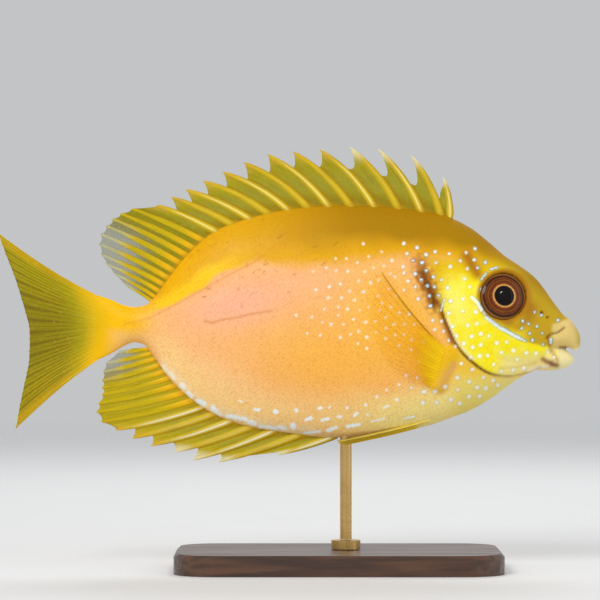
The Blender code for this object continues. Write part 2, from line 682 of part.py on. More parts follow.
def stand_base(finish):
    """A flat plate with round corners and a bevelled top edge."""
    outline = []
    half_x, half_y = BASE_LENGTH / 2 - BASE_CORNER, BASE_WIDTH / 2 - BASE_CORNER
    for quarter, (sx, sy) in enumerate(((1, 1), (-1, 1), (-1, -1), (1, -1))):
        for step in range(BASE_CORNER_STEPS + 1):
            turn = math.radians(90 * (quarter + step / BASE_CORNER_STEPS))
            outline.append(((sx * half_x, sy * half_y), (math.cos(turn), math.sin(turn))))
    points = []
    for inset, z in ((0.0, 0.0), (0.0, BASE_HEIGHT - BASE_BEVEL), (BASE_BEVEL, BASE_HEIGHT)):
        for (cx, cy), (dx, dy) in outline:
            reach = BASE_CORNER - inset
            points.append((BASE_AT + cx + reach * dx, cy + reach * dy, z))
    return new_object("stand_base", points, prism_faces(len(outline), levels=3), finish)


def build_jaws(head, skin):
    """The two jaws, each a loft of its own set into a pocket of the head."""
    for name, table in (("upper_jaw", UPPER_JAW), ("lower_jaw", LOWER_JAW)):
        section = Section(table, LIP_POWER, LIP_POWER)
        places = [row[0] for row in table]
        boolean(head, loft("cut", section, places, LIP_AROUND, grow=TOUCH_GAP), "DIFFERENCE", FLESH_SOLVER)
        loft(name, section, places, LIP_AROUND, skin)


def build_head(skin, eye_finish):
    """The head with its jaws, gill covers, eyes and nostrils."""
    head = loft("head", BODY_SECTION, HEAD_PLACES, HEAD_AROUND, skin, head_relief)
    boolean(head, head_prism(), "INTERSECT", FLESH_SOLVER)
    build_jaws(head, skin)
    for side, word in ((-1, "right"), (1, "left")):
        boolean(head, cover_patch("cut", side, grow=TOUCH_GAP, out=POCKET_OUT), "DIFFERENCE", FLESH_SOLVER)
        boolean(head, turned_eye("cut", side, grow=TOUCH_GAP), "DIFFERENCE", FLESH_SOLVER)
        for x, z, radius in NOSTRILS:
            y = side * float(head_half(x, z))
            boolean(head, ball("cut", (x, y, z), radius), "DIFFERENCE", FLESH_SOLVER)
        cover_patch(f"gill_cover_{word}", side, skin)
        turned_eye(f"eye_{word}", side, eye_finish)


def build_trunk(skin):
    """The torso, with the hole that takes the rod, and the root of the tail."""
    torso = loft("torso", BODY_SECTION, TORSO_PLACES, TORSO_AROUND, skin)
    low, high = BASE_HEIGHT - FISH_DATUM, ROD_TOP + TOUCH_GAP - FISH_DATUM
    boolean(torso, cylinder("cut", ROD_AT, ROD_RADIUS + TOUCH_GAP, low, high), "DIFFERENCE")
    boolean(torso, head_prism(TOUCH_GAP), "DIFFERENCE", FLESH_SOLVER)
    loft("tail", BODY_SECTION, TAIL_PLACES, TAIL_AROUND, skin)


def build_fins(fin_finish, web_finish):
    """All the fins: spines and the tail fin in one finish, soft rays in another."""
    for name, table, web, spines, rays, up in (
        ("dorsal_fin", DORSAL, DORSAL_WEB, DORSAL_SPINES, DORSAL_RAYS, 1),
        ("anal_fin", ANAL, ANAL_WEB, ANAL_SPINES, ANAL_RAYS, -1),
    ):
        median_fin(f"{name}_spiny", table, web, 1, spines, spines, up, fin_finish)
        median_fin(f"{name}_soft", table, web, spines + 1, rays, spines, up, web_finish)
    part = 0.5 / (2 * CAUDAL_RAYS - 1)
    caudal_lobe("caudal_fin_upper", 0.0, 0.5 - part, fin_finish)
    caudal_lobe("caudal_fin_lower", 0.5 + part, 1.0, fin_finish)
    for side, word in ((-1, "right"), (1, "left")):
        pectoral_fin(f"pectoral_fin_{word}", side, web_finish)
        pelvic_fin(f"pelvic_fin_{word}", side, fin_finish)


def lower_fish():
    """Moves all that is built so far from the fish's datum to the stand's."""
    for made in bpy.data.objects:
        made.data.transform(Matrix.Translation((0, 0, FISH_DATUM * MM)))


def build_stand(wood, brass):
    """The base, the collar on it and the rod that ends in the belly."""
    stand_base(wood)
    collar_low = BASE_HEIGHT + TOUCH_GAP
    collar_high = collar_low + COLLAR_HEIGHT
    cylinder("stand_collar", ROD_AT, COLLAR_RADIUS, collar_low, collar_high, brass)
    cylinder("stand_rod", ROD_AT, ROD_RADIUS, collar_high + TOUCH_GAP, ROD_TOP, brass)


def main():
    for old in list(bpy.data.objects):
        bpy.data.objects.remove(old)
    skin = material("skin", (0.80, 0.45, 0.06), 0.4)
    eye_finish = material("eye", (0.16, 0.04, 0.01), 0.1)
    fin_finish = material("fin", (0.55, 0.42, 0.01), 0.45)
    web_finish = material("web", (0.45, 0.36, 0.02), 0.45)
    wood = material("wood", (0.05, 0.025, 0.012), 0.4)
    brass = material("brass", (0.6, 0.45, 0.2), 0.3, 1.0)
    build_head(skin, eye_finish)
    build_trunk(skin)
    build_fins(fin_finish, web_finish)
    lower_fish()
    build_stand(wood, brass)


main()
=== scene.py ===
"""The looks of a bluespotted rabbitfish on its display stand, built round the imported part.

One skin covers head, trunk, tail, jaws and gill covers. The fins are sheets with their rays raised in
them. Sizes are millimetres in the fish's own terms: "ahead" is X and "up" is Z over the fish's datum.
"""

import math

import bpy
import numpy as np
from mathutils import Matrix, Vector


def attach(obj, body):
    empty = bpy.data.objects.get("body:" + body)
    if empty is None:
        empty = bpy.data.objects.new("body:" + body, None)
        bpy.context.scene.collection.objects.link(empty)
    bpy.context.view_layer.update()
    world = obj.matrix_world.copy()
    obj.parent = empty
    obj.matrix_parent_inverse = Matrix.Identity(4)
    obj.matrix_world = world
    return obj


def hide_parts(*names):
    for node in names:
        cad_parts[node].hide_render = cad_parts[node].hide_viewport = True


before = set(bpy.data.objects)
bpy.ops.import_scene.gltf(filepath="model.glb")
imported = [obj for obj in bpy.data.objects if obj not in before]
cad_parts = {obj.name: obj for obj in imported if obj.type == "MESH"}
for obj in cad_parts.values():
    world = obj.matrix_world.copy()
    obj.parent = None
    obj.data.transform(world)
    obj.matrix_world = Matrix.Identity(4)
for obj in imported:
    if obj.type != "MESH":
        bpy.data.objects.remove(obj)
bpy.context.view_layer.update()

MM = 0.001
DATUM = np.array([0, 0, -6.7])  # the fish's heights are measured from here, the stand's from its underside
SEED = 11

# The photo's scale: a point of it, in pixels, is this place on the fish
PHOTO_ORIGIN = (289.0, 325.0)
PHOTO_HEIGHT = 90.7
PHOTO_MM = 0.343
VIEW_CENTRE = (300, 300)
VIEW_WIDTH = 600 * PHOTO_MM
CAMERA_DISTANCE = 1200.0
SENSOR = 36.0

# The body's outline and thickness: ahead, back, height of the widest line, belly, half thickness
BODY = (
    (-69.5, 101.9, 89.6, 77.6, 0.25), (-67.0, 101.3, 89.7, 78.3, 0.8), (-63.8, 100.4, 89.8, 79.5, 1.6),
    (-60.4, 99.2, 90.0, 81.2, 2.3), (-57.0, 97.7, 90.4, 83.2, 2.9), (-53.2, 96.9, 90.8, 84.7, 3.4),
    (-50.2, 97.3, 90.6, 84.2, 3.9), (-46.8, 99.1, 90.1, 80.6, 4.5), (-41.7, 105.7, 90.0, 73.4, 5.4),
    (-34.9, 114.2, 90.4, 66.6, 6.8), (-24.7, 122.7, 91.6, 59.8, 8.6), (-12.8, 127.0, 93.2, 55.8, 10.2),
    (0.9, 129.9, 93.9, 53.7, 11.4), (14.5, 131.0, 94.2, 52.2, 12.2), (28.1, 130.9, 94.2, 52.7, 12.7),
    (38.3, 130.1, 94.2, 54.2, 12.9), (48.5, 128.7, 94.6, 56.4, 12.9), (55.3, 127.4, 94.9, 58.8, 12.6),
    (62.1, 124.1, 95.1, 61.4, 12.0), (68.9, 118.8, 95.2, 65.3, 11.2), (74.0, 114.4, 94.6, 69.0, 10.3),
    (79.1, 111.0, 93.2, 72.6, 9.3), (84.2, 107.1, 90.8, 75.0, 7.8), (87.6, 103.0, 88.9, 76.5, 6.6),
    (89.3, 100.5, 88.4, 77.7, 6.0), (91.0, 98.1, 88.4, 79.3, 5.4), (92.2, 96.6, 88.9, 81.5, 4.9),
    (93.2, 95.2, 89.6, 83.9, 4.4), (94.2, 94.1, 90.8, 87.2, 3.9), (95.0, 93.3, 92.2, 91.0, 3.2),
)
BODY_POWERS = (1.25, 1.05)  # above 1 the section narrows to a keel, at the back and at the belly
UPPER_JAW = (
    (85.8, 87.6, 86.6, 85.6, 2.6), (87.3, 88.6, 86.4, 84.4, 5.0), (88.5, 89.0, 86.2, 83.8, 6.6),
    (91.0, 89.6, 86.3, 83.5, 6.5), (93.3, 92.0, 86.7, 83.3, 6.1), (95.4, 93.2, 87.0, 83.2, 5.5),
    (96.7, 92.2, 87.0, 82.6, 4.9), (98.3, 90.0, 86.2, 81.9, 3.8), (99.4, 88.1, 85.8, 82.6, 2.5),
    (99.95, 86.2, 85.4, 84.0, 0.8),
)
LOWER_JAW = (
    (83.0, 79.8, 79.0, 76.4, 2.5), (86.0, 81.4, 78.6, 75.3, 4.9), (88.6, 82.6, 78.8, 75.1, 5.1),
    (91.6, 82.7, 78.8, 75.3, 4.9), (93.9, 82.5, 78.8, 75.7, 4.3), (95.7, 81.5, 78.8, 76.4, 3.5),
    (97.1, 80.3, 78.9, 77.5, 2.3), (97.9, 79.3, 78.8, 78.2, 0.8),
)
MOUTH_FLOOR = (
    (86.0, 84.4, 82.8, 81.0, 2.0), (90.0, 84.6, 82.8, 81.2, 4.2), (92.6, 84.4, 82.9, 81.6, 3.6),
    (94.4, 83.7, 83.0, 82.3, 2.0),
)
LIP_POWERS = (0.8, 0.8)
BODY_STEP, BODY_AROUND = 0.75, 150
LIP_STEPS, LIP_AROUND = 40, 72
VOXEL, SMOOTH_ROUNDS = 0.54, 3
FLESH_NODES = ("head", "torso", "tail", "upper_jaw", "lower_jaw", "gill_cover_right", "gill_cover_left")

# The gill opening, as angle in degrees and distance from a point on the cheek
CHEEK = (75.7, 95.9)
GILL_EDGE = (
    (110, 48.0), (122, 36.7), (136, 29.6), (159, 25.1), (172, 24.0), (182, 23.1),
    (202, 21.7), (229, 21.7), (254, 22.4), (268, 22.2), (285, 21.8), (297, 23.8), (312, 31.0),
)
COVER_FRONT = (
    (157, 17.4), (180, 15.7), (202, 15.5), (230, 16.2), (250, 16.8), (270, 17.7), (286, 19.6),
)
EYE_AT = (73.1, 100.6)
EYE_PROFILE = (
    (0.0, 0.9), (1.6, 0.87), (3.6, 0.65), (5.8, 0.1), (7.4, -0.6), (8.0, -1.2), (7.6, -3.0), (5.4, -4.5),
)
EYE_SLOPE_SPAN = 4.0
NOSTRILS = ((86.2, 95.0, 0.75), (88.2, 93.4, 0.6))  # ahead, up, radius

# Rays of the dorsal and anal fins: number, where it leaves the body, length, slope in degrees.
# A dorsal ray's slope is how far it leans back from upright, an anal ray's how far it hangs below level.
DORSAL_SPINES, ANAL_SPINES = 13, 7
DORSAL = (
    (1, 54.9, 13.6, 8.5), (2, 51.9, 22.8, 26.0), (3, 45.4, 26.4, 34.5), (4, 37.6, 27.2, 38.4),
    (5, 29.4, 27.3, 43.5), (7, 13.9, 27.9, 50.0), (9, 0.3, 26.6, 60.5), (11, -12.8, 24.7, 66.5),
    (13, -24.3, 22.7, 67.5), (14, -28.9, 26.8, 67.0), (16, -34.4, 28.7, 65.0), (18, -38.9, 28.4, 64.5),
    (20, -42.4, 24.1, 66.0), (22, -45.4, 16.0, 63.0), (23, -46.7, 10.9, 62.0),
)
ANAL = (
    (1, 15.5, 20.0, 16.0), (2, 4.9, 30.6, 17.2), (3, -4.3, 30.4, 18.5), (4, -12.1, 28.6, 16.6),
    (5, -19.2, 29.4, 15.8), (6, -25.0, 30.0, 15.0), (7, -28.9, 31.4, 13.2), (8, -32.3, 32.6, 12.0),
    (9, -35.5, 31.0, 11.0), (11, -40.6, 24.0, 12.0), (13, -44.0, 20.5, 13.0), (15, -46.8, 16.0, 9.0),
    (16, -48.0, 10.5, 2.0),
)
# Ray, how far the membrane reaches along it behind, along the next one in front, how hollow its edge is
DORSAL_WEB = (
    (1, 0.84, 0.30, 1.6), (2, 0.90, 0.42, 2.4), (3, 0.93, 0.50, 2.2), (4, 0.96, 0.60, 1.8),
    (5, 0.97, 0.65, 1.2), (7, 0.975, 0.68, 1.1), (13, 0.975, 0.72, 1.0),
)
ANAL_WEB = ((1, 0.96, 0.66, 1.0), (3, 0.97, 0.72, 1.0), (7, 0.975, 0.82, 1.0))
SOFT_WEB = (0.985, 0.985, 1.0)
EDGE_REACH = 0.9
ROOT_SINK = 0.9  # how far a fin's root goes into the flesh
RAY_BOW = 0.02
DORSAL_BOW = 0.042  # how much more the dorsal fin's front spines bow

CAUDAL_RAYS = 9  # in each lobe
CAUDAL_ROOT = (-64.1, 100.2, 79.5)
CAUDAL_EDGE = (
    (0.00, -99.55, 121.6), (0.12, -97.2, 115.0), (0.25, -94.2, 107.3), (0.37, -91.4, 98.2),
    (0.50, -89.0, 88.0), (0.63, -89.2, 79.0), (0.75, -90.6, 71.6), (0.88, -92.3, 63.4), (1.00, -93.6, 55.8),
)
CAUDAL_BOW, CAUDAL_SINK = 0.06, 4.5

PECTORAL_RAYS = 15
PECTORAL_ROOT = ((53.7, 0, 81.8), (49.6, 0, 69.8))
PECTORAL = (
    (0.0, 35.0, 129.5), (0.1, 37.0, 132.5), (0.25, 35.0, 138.5), (0.5, 28.6, 147.5), (0.75, 20.0, 158.0),
    (1.0, 8.5, 167.0),
)
PECTORAL_LONGEST = max(row[1] for row in PECTORAL)
PECTORAL_SEAT, PECTORAL_LIFT, PECTORAL_LIFT_POWER = 0.85, 2.6, 1.6

PELVIC_RAYS = 5
PELVIC_OUTER = ((47.8, 3.7, 58.4), (16.6, 5.2, 50.9))
PELVIC_INNER = ((43.8, 1.3, 55.7), (18.2, 3.3, 49.7))
PELVIC_NORMAL = (0.0, 0.7, -0.71)

# The half height and half width of a ray's ridge
SPINE_RIDGE, SOFT_RIDGE = (0.85, 1.35), (0.5, 1.0)
CAUDAL_EDGE_RIDGE, CAUDAL_RIDGE = (0.7, 1.0), (0.5, 0.7)
PECTORAL_RIDGE = (0.34, 0.3)
PELVIC_SPINE_RIDGE, PELVIC_RIDGE = (0.6, 0.6), (0.4, 0.38)

# Colours of the skin, as seen in the photo
FLANK = (252, 188, 120)
PINK = (255, 186, 152)
ORANGE = (255, 186, 66)
AMBER = (255, 198, 34)
PALE_PEACH = (252, 200, 142)
BACK = (168, 126, 0)
BACK_LOW = (228, 170, 12)
BAND = (255, 206, 14)
GOLD = (250, 190, 2)
TAIL_ROOT = (176, 160, 2)
TAIL_UNDER = (244, 190, 100)
CHEEK_YELLOW = (252, 236, 24)
CHEEK_PALE = (254, 250, 130)
NAPE = (228, 186, 2)
SNOUT = (196, 162, 26)
THROAT = (234, 218, 116)
BELLY = (250, 234, 144)
BELLY_REAR = (255, 214, 138)
BREAST = (240, 200, 30)
LOBE = (240, 190, 16)
LIP = (226, 200, 122)
LIP_FRONT = (186, 170, 50)
LOWER_LIP = (240, 228, 168)
CREAM = (255, 244, 214)
# Painted shade in the mouth's slit and in the groove over the upper lip
MOUTH_SHADE = (96, 56, 24)
BLOTCH = (92, 44, 4)
BROWN = (164, 98, 12)
CHIN_BROWN = (120, 66, 44)
# Painted shade for recesses: the gill slit, the socket round the eye, the axil of the pectoral fin and the
# nostrils
RECESS_SHADE = (84, 42, 8)
FIN_BASE = (228, 170, 104)
FIN_YELLOW = (252, 204, 2)
GLOW = (255, 238, 196)
# Darker along creases and folds, where it is painted shade, and along the lateral line
CREASE = (204, 130, 56)
CHIN = (238, 222, 150)
# Colours of the pale marks: on the flank, and where the fish's other parts change them
MARK, MARK_FRONT, MARK_LOW = (255, 236, 212), (236, 244, 244), (244, 254, 255)
MARK_CHEEK, MARK_BLOTCH = (255, 252, 232), (222, 242, 250)
MARK_FACE, MARK_THROAT = (222, 242, 252), (238, 228, 212)

# Patches: colour, middle in the photo, half length and half height in millimetres, tilt, strength.
# The two single patches after the list leave out the colour.
SKIN_PATCHES = (
    (PALE_PEACH, (220, 385), (26, 9), -28, 0.8),
    (ORANGE, (335, 358), (28, 15), 0, 0.8),
    (AMBER, (398, 322), (13, 21), 40, 0.75),
    (PINK, (236, 304), (18, 8), 12, 0.95),
    (PINK, (300, 282), (18, 6), 4, 0.25),
)
RUMP_PATCH = ((172, 268), (12, 9), 50, 0.5)
CHEEK_PATCH = ((456, 303), (4, 8), 20, 0.6)
TAIL_FADE = (58, 72)  # how far behind the middle the body's gold turns into the tail fin's olive


def curve_through(points):
    """A function that passes smoothly through (x, y) points and doesn't overshoot between them."""
    xs, ys = np.array(points, float).T
    steps = np.diff(xs)
    rises = np.diff(ys) / steps
    slopes = np.zeros(len(xs))
    slopes[0], slopes[-1] = rises[0], rises[-1]
    for i in range(1, len(xs) - 1):
        if rises[i - 1] * rises[i] > 0:
            near_weight, far_weight = 2 * steps[i] + steps[i - 1], steps[i] + 2 * steps[i - 1]
            slopes[i] = (near_weight + far_weight) / (near_weight / rises[i - 1] + far_weight / rises[i])

    def value(x):
        x = np.clip(x, xs[0], xs[-1])
        i = np.clip(np.searchsorted(xs, x) - 1, 0, len(steps) - 1)
        t = (x - xs[i]) / steps[i]
        ends = ys[i] * (1 + 2 * t) * (1 - t) ** 2 + ys[i + 1] * t * t * (3 - 2 * t)
        return ends + steps[i] * (slopes[i] * t * (1 - t) ** 2 - slopes[i + 1] * t * t * (1 - t))

    return value


def columns(table):
    """The smooth curve of each later column of a table against its first."""
    first, *others = zip(*table)
    return [curve_through(list(zip(first, other))) for other in others]


def ease(low, high, x):
    """0 up to low, 1 from high on, and smooth between."""
    t = np.clip((x - low) / (high - low), 0, 1)
    return t * t * (3 - 2 * t)


def fall(low, high, x):
    """1 up to low, 0 from high on, and smooth between."""
    return 1 - ease(low, high, x)


def hump(distance, width):
    """1 at no distance, fading to nothing at about twice the width."""
    return np.exp(-((distance / width) ** 2))


def unit(vector):
    return vector / np.maximum(np.linalg.norm(vector, axis=-1, keepdims=True), 1e-9)


class Section:
    """The cross-sections of a long body, from its table of stations."""

    def __init__(self, table, powers):
        self.back, self.widest, self.belly, self.half = columns(table)
        self.powers = powers

    def shares(self, x, z):
        """A height as a share of the way from the widest line to the edge, with reach and power there."""
        middle = self.widest(x)
        above = z > middle
        reach = np.where(above, self.back(x) - middle, middle - self.belly(x))
        return (z - middle) / reach, reach, np.where(above, *self.powers)

    def half_at(self, x, z):
        """Half the body's thickness at a point of its side view."""
        share, _, power = self.shares(x, z)
        return self.half(x) * (1 - np.clip(np.abs(share), 0, 1) ** 2) ** (power / 2)

    def ring(self, x, around):
        """The points of one section, from the back down the right side (-Y) and up the left."""
        angles = np.arange(around) * 2 * math.pi / around
        rise, out = np.cos(angles), np.sin(angles)
        middle = self.widest(x)
        reach = np.where(rise > 0, self.back(x) - middle, middle - self.belly(x))
        power = np.where(rise > 0, *self.powers)
        y = -np.sign(out) * self.half(x) * np.abs(out) ** power
        return np.stack([np.full(around, float(x)), y, middle + reach * rise], axis=1)

    def onto(self, points):
        """The points moved straight away from the section's middle, or towards it, onto its surface."""
        x, y, z = points.T
        across, (share, reach, power) = y / self.half(x), self.shares(x, z)
        scale = np.ones(len(x))
        for _ in range(8):
            scale = scale * np.sqrt((share / scale) ** 2 + (np.abs(across) / scale) ** (2 / power))
        scale = np.clip(scale, 0.5, 2)
        return np.stack([x, across / scale * self.half(x), self.widest(x) + share / scale * reach], axis=1)


TRUNK = Section(BODY, BODY_POWERS)
GILL_RADIUS = curve_through(GILL_EDGE)
COVER_RADIUS = curve_through(COVER_FRONT)


def polar(x, z):
    """Angle in degrees, from 0 to 360, and distance of a point from the cheek's centre."""
    dx, dz = x - CHEEK[0], z - CHEEK[1]
    return np.degrees(np.arctan2(dz, dx)) % 360, np.hypot(dx, dz)


def eye_distance(x, z):
    return np.hypot(x - EYE_AT[0], z - EYE_AT[1])


def photo_place(px, py):
    """Ahead and up, on the fish, of a point of the photo."""
    return (px - PHOTO_ORIGIN[0]) * PHOTO_MM, PHOTO_HEIGHT + (PHOTO_ORIGIN[1] - py) * PHOTO_MM


def traced(*pixels):
    """Points of the photo as places on the fish."""
    return [photo_place(*pixel) for pixel in pixels]


def segments(path, radius=0.0):
    """A path as marks: two ends and a radius each."""
    return [(*a, *b, radius) for a, b in zip(path, path[1:])]


def mark_distance(x, z, marks):
    """How far each point is outside the nearest mark. It is below zero inside one."""
    best = np.full(np.shape(x), 1e9)
    for ax, az, bx, bz, radius in marks:
        dx, dz = bx - ax, bz - az
        t = np.clip(((x - ax) * dx + (z - az) * dz) / max(dx * dx + dz * dz, 1e-9), 0, 1)
        best = np.minimum(best, np.hypot(x - ax - dx * t, z - az - dz * t) - radius)
    return best


def path_distance(x, z, path):
    return mark_distance(x, z, segments(path))


def near(x, z, path, width):
    """1 on a path, fading to nothing at about twice the width from it."""
    return hump(path_distance(x, z, path), width)


def mottle(x, z, size, seed):
    """Soft unevenness from -1 to 1 with features about this size."""
    draw = np.random.default_rng(seed)
    total = np.zeros(np.shape(x))
    for _ in range(7):
        turn, phase = draw.uniform(0, 2 * math.pi), draw.uniform(0, 2 * math.pi)
        pitch = draw.uniform(0.7, 1.5)
        total += np.sin((x * math.cos(turn) + z * math.sin(turn)) * pitch * math.pi / size + phase)
    return total / 4


def linear(colour):
    """A colour of the photo, 0 to 255, as light. An array is light already."""
    if isinstance(colour, np.ndarray):
        return colour
    share = np.array(colour) / 255
    return np.where(share <= 0.04045, share / 12.92, ((share + 0.055) / 1.055) ** 2.4)


def layered(base, *layers):
    """Paints colours over a base, each by its weight at every point."""
    paint = linear(base)
    for colour, weight in layers:
        paint = paint + (linear(colour) - paint) * np.clip(weight, 0, 1)[:, None]
    return paint


# Meshes


def new_object(name, data):
    made = bpy.data.objects.new(name, data)
    bpy.context.scene.collection.objects.link(made)
    return made


def mesh_object(name, points, faces):
    """An object from points in fish millimetres, shaded smooth."""
    mesh = bpy.data.meshes.new(name)
    mesh.from_pydata(((np.asarray(points) + DATUM) * MM).tolist(), [], faces)
    mesh.shade_smooth()
    return new_object(name, mesh)


def read(items, name, width, kind=float):
    """One value of each vertex or edge of a mesh, a row each."""
    flat = np.empty(width * len(items), dtype=kind)
    items.foreach_get(name, flat)
    return flat.reshape(-1, width)


def points_of(made):
    """The points of an object's mesh in fish millimetres."""
    return read(made.data.vertices, "co", 3) / MM - DATUM


def set_points(made, points):
    made.data.vertices.foreach_set("co", ((points + DATUM) * MM).ravel())
    made.data.update()


def give(made, **values):
    """Gives the points of a mesh colours or numbers under these names."""
    for name, value in values.items():
        if value.ndim == 2:
            layer = made.data.color_attributes.new(name, "FLOAT_COLOR", "POINT")
            layer.data.foreach_set("color", np.insert(value, 3, 1.0, axis=1).ravel())
        else:
            layer = made.data.attributes.new(name, "FLOAT", "POINT")
            layer.data.foreach_set("value", value)


def dress(made, finish, slot, *nodes):
    """Gives a piece its material and body, and hides the nodes that it stands for. slot is not used."""
    made.data.materials.append(finish)
    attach(made, "root")
    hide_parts(*nodes)


def loft(section, places, around, first):
    """Points and faces of a closed loft, its points counted from first."""
    points = np.concatenate([section.ring(x, around) for x in places])
    faces = []
    for i in range(len(places) - 1):
        for k in range(around):
            a, b = first + i * around + k, first + i * around + (k + 1) % around
            faces.append((a, b, b + around, a + around))
    last = first + (len(places) - 1) * around
    faces += [tuple(range(first, first + around)), tuple(range(last, last + around))]
    return points, faces


def remeshed(made, size):
    """Replaces an object's mesh with one even surface round all of it."""
    modifier = made.modifiers.new("Remesh", "REMESH")
    modifier.mode, modifier.voxel_size = "VOXEL", size * MM
    graph = bpy.context.evaluated_depsgraph_get()
    mesh = bpy.data.meshes.new_from_object(made.evaluated_get(graph))
    made.modifiers.clear()
    made.data = mesh
    mesh.shade_smooth()


def smoothed(points, edges, rounds):
    """Points drawn halfway to the average of their neighbours, some times over."""
    counts = np.bincount(edges.ravel(), minlength=len(points))[:, None]
    for _ in range(rounds):
        total = np.zeros_like(points)
        np.add.at(total, edges[:, 0], points[edges[:, 1]])
        np.add.at(total, edges[:, 1], points[edges[:, 0]])
        points = (points + total / counts) / 2
    return points


# The skin

UPPER_LIP_GROOVE = traced((546, 338), (548, 335), (551, 333.5), (556, 332.5), (560, 330), (563, 327.5))
LIP_CORNER = traced((546, 337), (548.5, 344), (550, 350), (553, 354), (557, 361))
MOUTH_LINE = traced((553, 347), (559, 347.5), (564, 347.5), (572, 351))
CHIN_FOLDS = (
    traced((498, 368), (515, 367), (530, 364), (541, 361)),
    traced((505, 376), (518, 375.5), (530, 371), (540, 367)),
)
LATERAL_LINE = traced(
    (443, 262), (425, 245), (395, 236), (350, 232), (300, 234), (270, 246), (262, 256), (253, 263),
    (243, 268), (220, 280), (190, 297), (172, 307), (150, 318), (125, 324),
)
FLANK_CREASE = traced(
    (205, 321), (212, 323), (218, 321), (226, 319), (235, 318), (243, 316), (252, 314), (262, 312),
    (272, 311),
)
PECTORAL_BASE = traced((448, 354), (443, 367), (438, 384))
PECTORAL_SKIN = traced((452, 365), (445, 374), (441, 385))
# Path, width and depth of what is sunk into the skin along it
GROOVES = (
    (UPPER_LIP_GROOVE, 0.5, 0.55), (LIP_CORNER, 0.5, 0.45), (MOUTH_LINE, 0.4, 0.5),
    (CHIN_FOLDS[0], 0.5, 0.12), (CHIN_FOLDS[1], 0.4, 0.2), (FLANK_CREASE, 0.4, 0.1),
    (LATERAL_LINE, 0.45, -0.06),
)
# How far other parts of the skin rise or are sunk
SOCKET_RIM, SOCKET_DEPTH = 0.55, 3.2
GILL_FLARE, GILL_SLIT, GILL_FOLD = 0.75, 0.55, 0.2
NOSTRIL_RIM, NOSTRIL_DEPTH = 0.28, 0.8


def socket(x, z):
    """How far the skin round the eye rises, and dips under the eye."""
    away = eye_distance(x, z)
    return SOCKET_RIM * hump(away - 9.0, 0.9) - SOCKET_DEPTH * fall(7.2, 8.3, away)


def gill_relief(x, z):
    """The flare of the gill cover, the slit behind it and the fold ahead of it."""
    angle, distance = polar(x, z)
    gill, front = GILL_RADIUS(angle), COVER_RADIUS(angle)
    inside = ease(front - 2, gill, distance) * fall(gill, gill + 0.55, distance)
    span = ease(165, 178, angle) * fall(283, 300, angle)
    fold = hump(distance - front, 0.8) * ease(165, 180, angle) * fall(270, 285, angle)
    slit = hump(distance - gill - 0.5, 0.5)
    return span * (GILL_FLARE * inside - GILL_SLIT * slit) - GILL_FOLD * fold


def skin_relief(x, z):
    """How far the skin stands out of the plain body at a point of the side view."""
    relief = socket(x, z) + gill_relief(x, z)
    for nx, nz, radius in NOSTRILS:
        away = np.hypot(x - nx, z - nz)
        relief += NOSTRIL_RIM * hump(away - radius, 0.3) - NOSTRIL_DEPTH * fall(0.35, 1.0, away / radius)
    for path, width, depth in GROOVES:
        relief -= depth * near(x, z, path, width)
    base = path_distance(x, z, PECTORAL_BASE)
    relief += (0.9 + 0.08 * np.sin(base * 5.5)) * fall(0.5, 3.9, base)
    return relief + 0.05 * mottle(x, z, 9, SEED)


def fin_roots(points):
    """The low sheath of flesh at the foot of the dorsal and anal fins, as a rise of the mid-plane."""
    x, y, z = points.T
    dorsal = ease(-49, -46, x) * fall(54, 57, x) * (z > 95)
    anal = ease(-50, -47, x) * fall(14, 18, x) * (z < 90)
    return hump(y, 1.3) * (0.6 * dorsal - 0.15 * anal)


def build_skin_mesh():
    """The skin as one even mesh, with all its relief."""
    lofts = [(TRUNK, np.arange(BODY[0][0], BODY[-1][0] + 0.01, BODY_STEP), BODY_AROUND)]
    for table in (UPPER_JAW, LOWER_JAW, MOUTH_FLOOR):
        places = np.linspace(table[0][0], table[-1][0], LIP_STEPS)
        lofts.append((Section(table, LIP_POWERS), places, LIP_AROUND))
    points, faces = np.zeros((0, 3)), []
    for section, places, around in lofts:
        more, more_faces = loft(section, places, around, len(points))
        points = np.concatenate([points, more])
        faces += more_faces
    skin = mesh_object("rabbitfish_skin", points, faces)
    remeshed(skin, VOXEL)
    points = smoothed(points_of(skin), read(skin.data.edges, "vertices", 2, np.int64), SMOOTH_ROUNDS)
    x, z = points[:, 0], points[:, 2]
    jaw = ease(82, 86, x) * fall(91, 93.5, z)
    body = (1 - jaw) * fall(92.5, 94.0, x) * ease(-68, -66, x)
    points += (TRUNK.onto(points) - points) * body[:, None]
    set_points(skin, points)
    sides = np.clip(np.abs(points[:, 1]) / 2.5, 0, 1)
    rise = skin_relief(points[:, 0], points[:, 2]) * sides
    points = points + read(skin.data.vertices, "normal", 3) * rise[:, None]
    points[:, 2] += fin_roots(points)
    set_points(skin, points)
    return skin


# Markings

BACK_LINE = curve_through(
    traced(
        (120, 322), (150, 316), (180, 301), (205, 285), (230, 270), (255, 263), (300, 264), (350, 259),
        (400, 254), (440, 256), (470, 262), (500, 262), (560, 322),
    )
)
STRIPE_LINE = curve_through(traced((469, 290), (478, 306), (485, 317), (500, 329), (523, 341), (549, 347)))
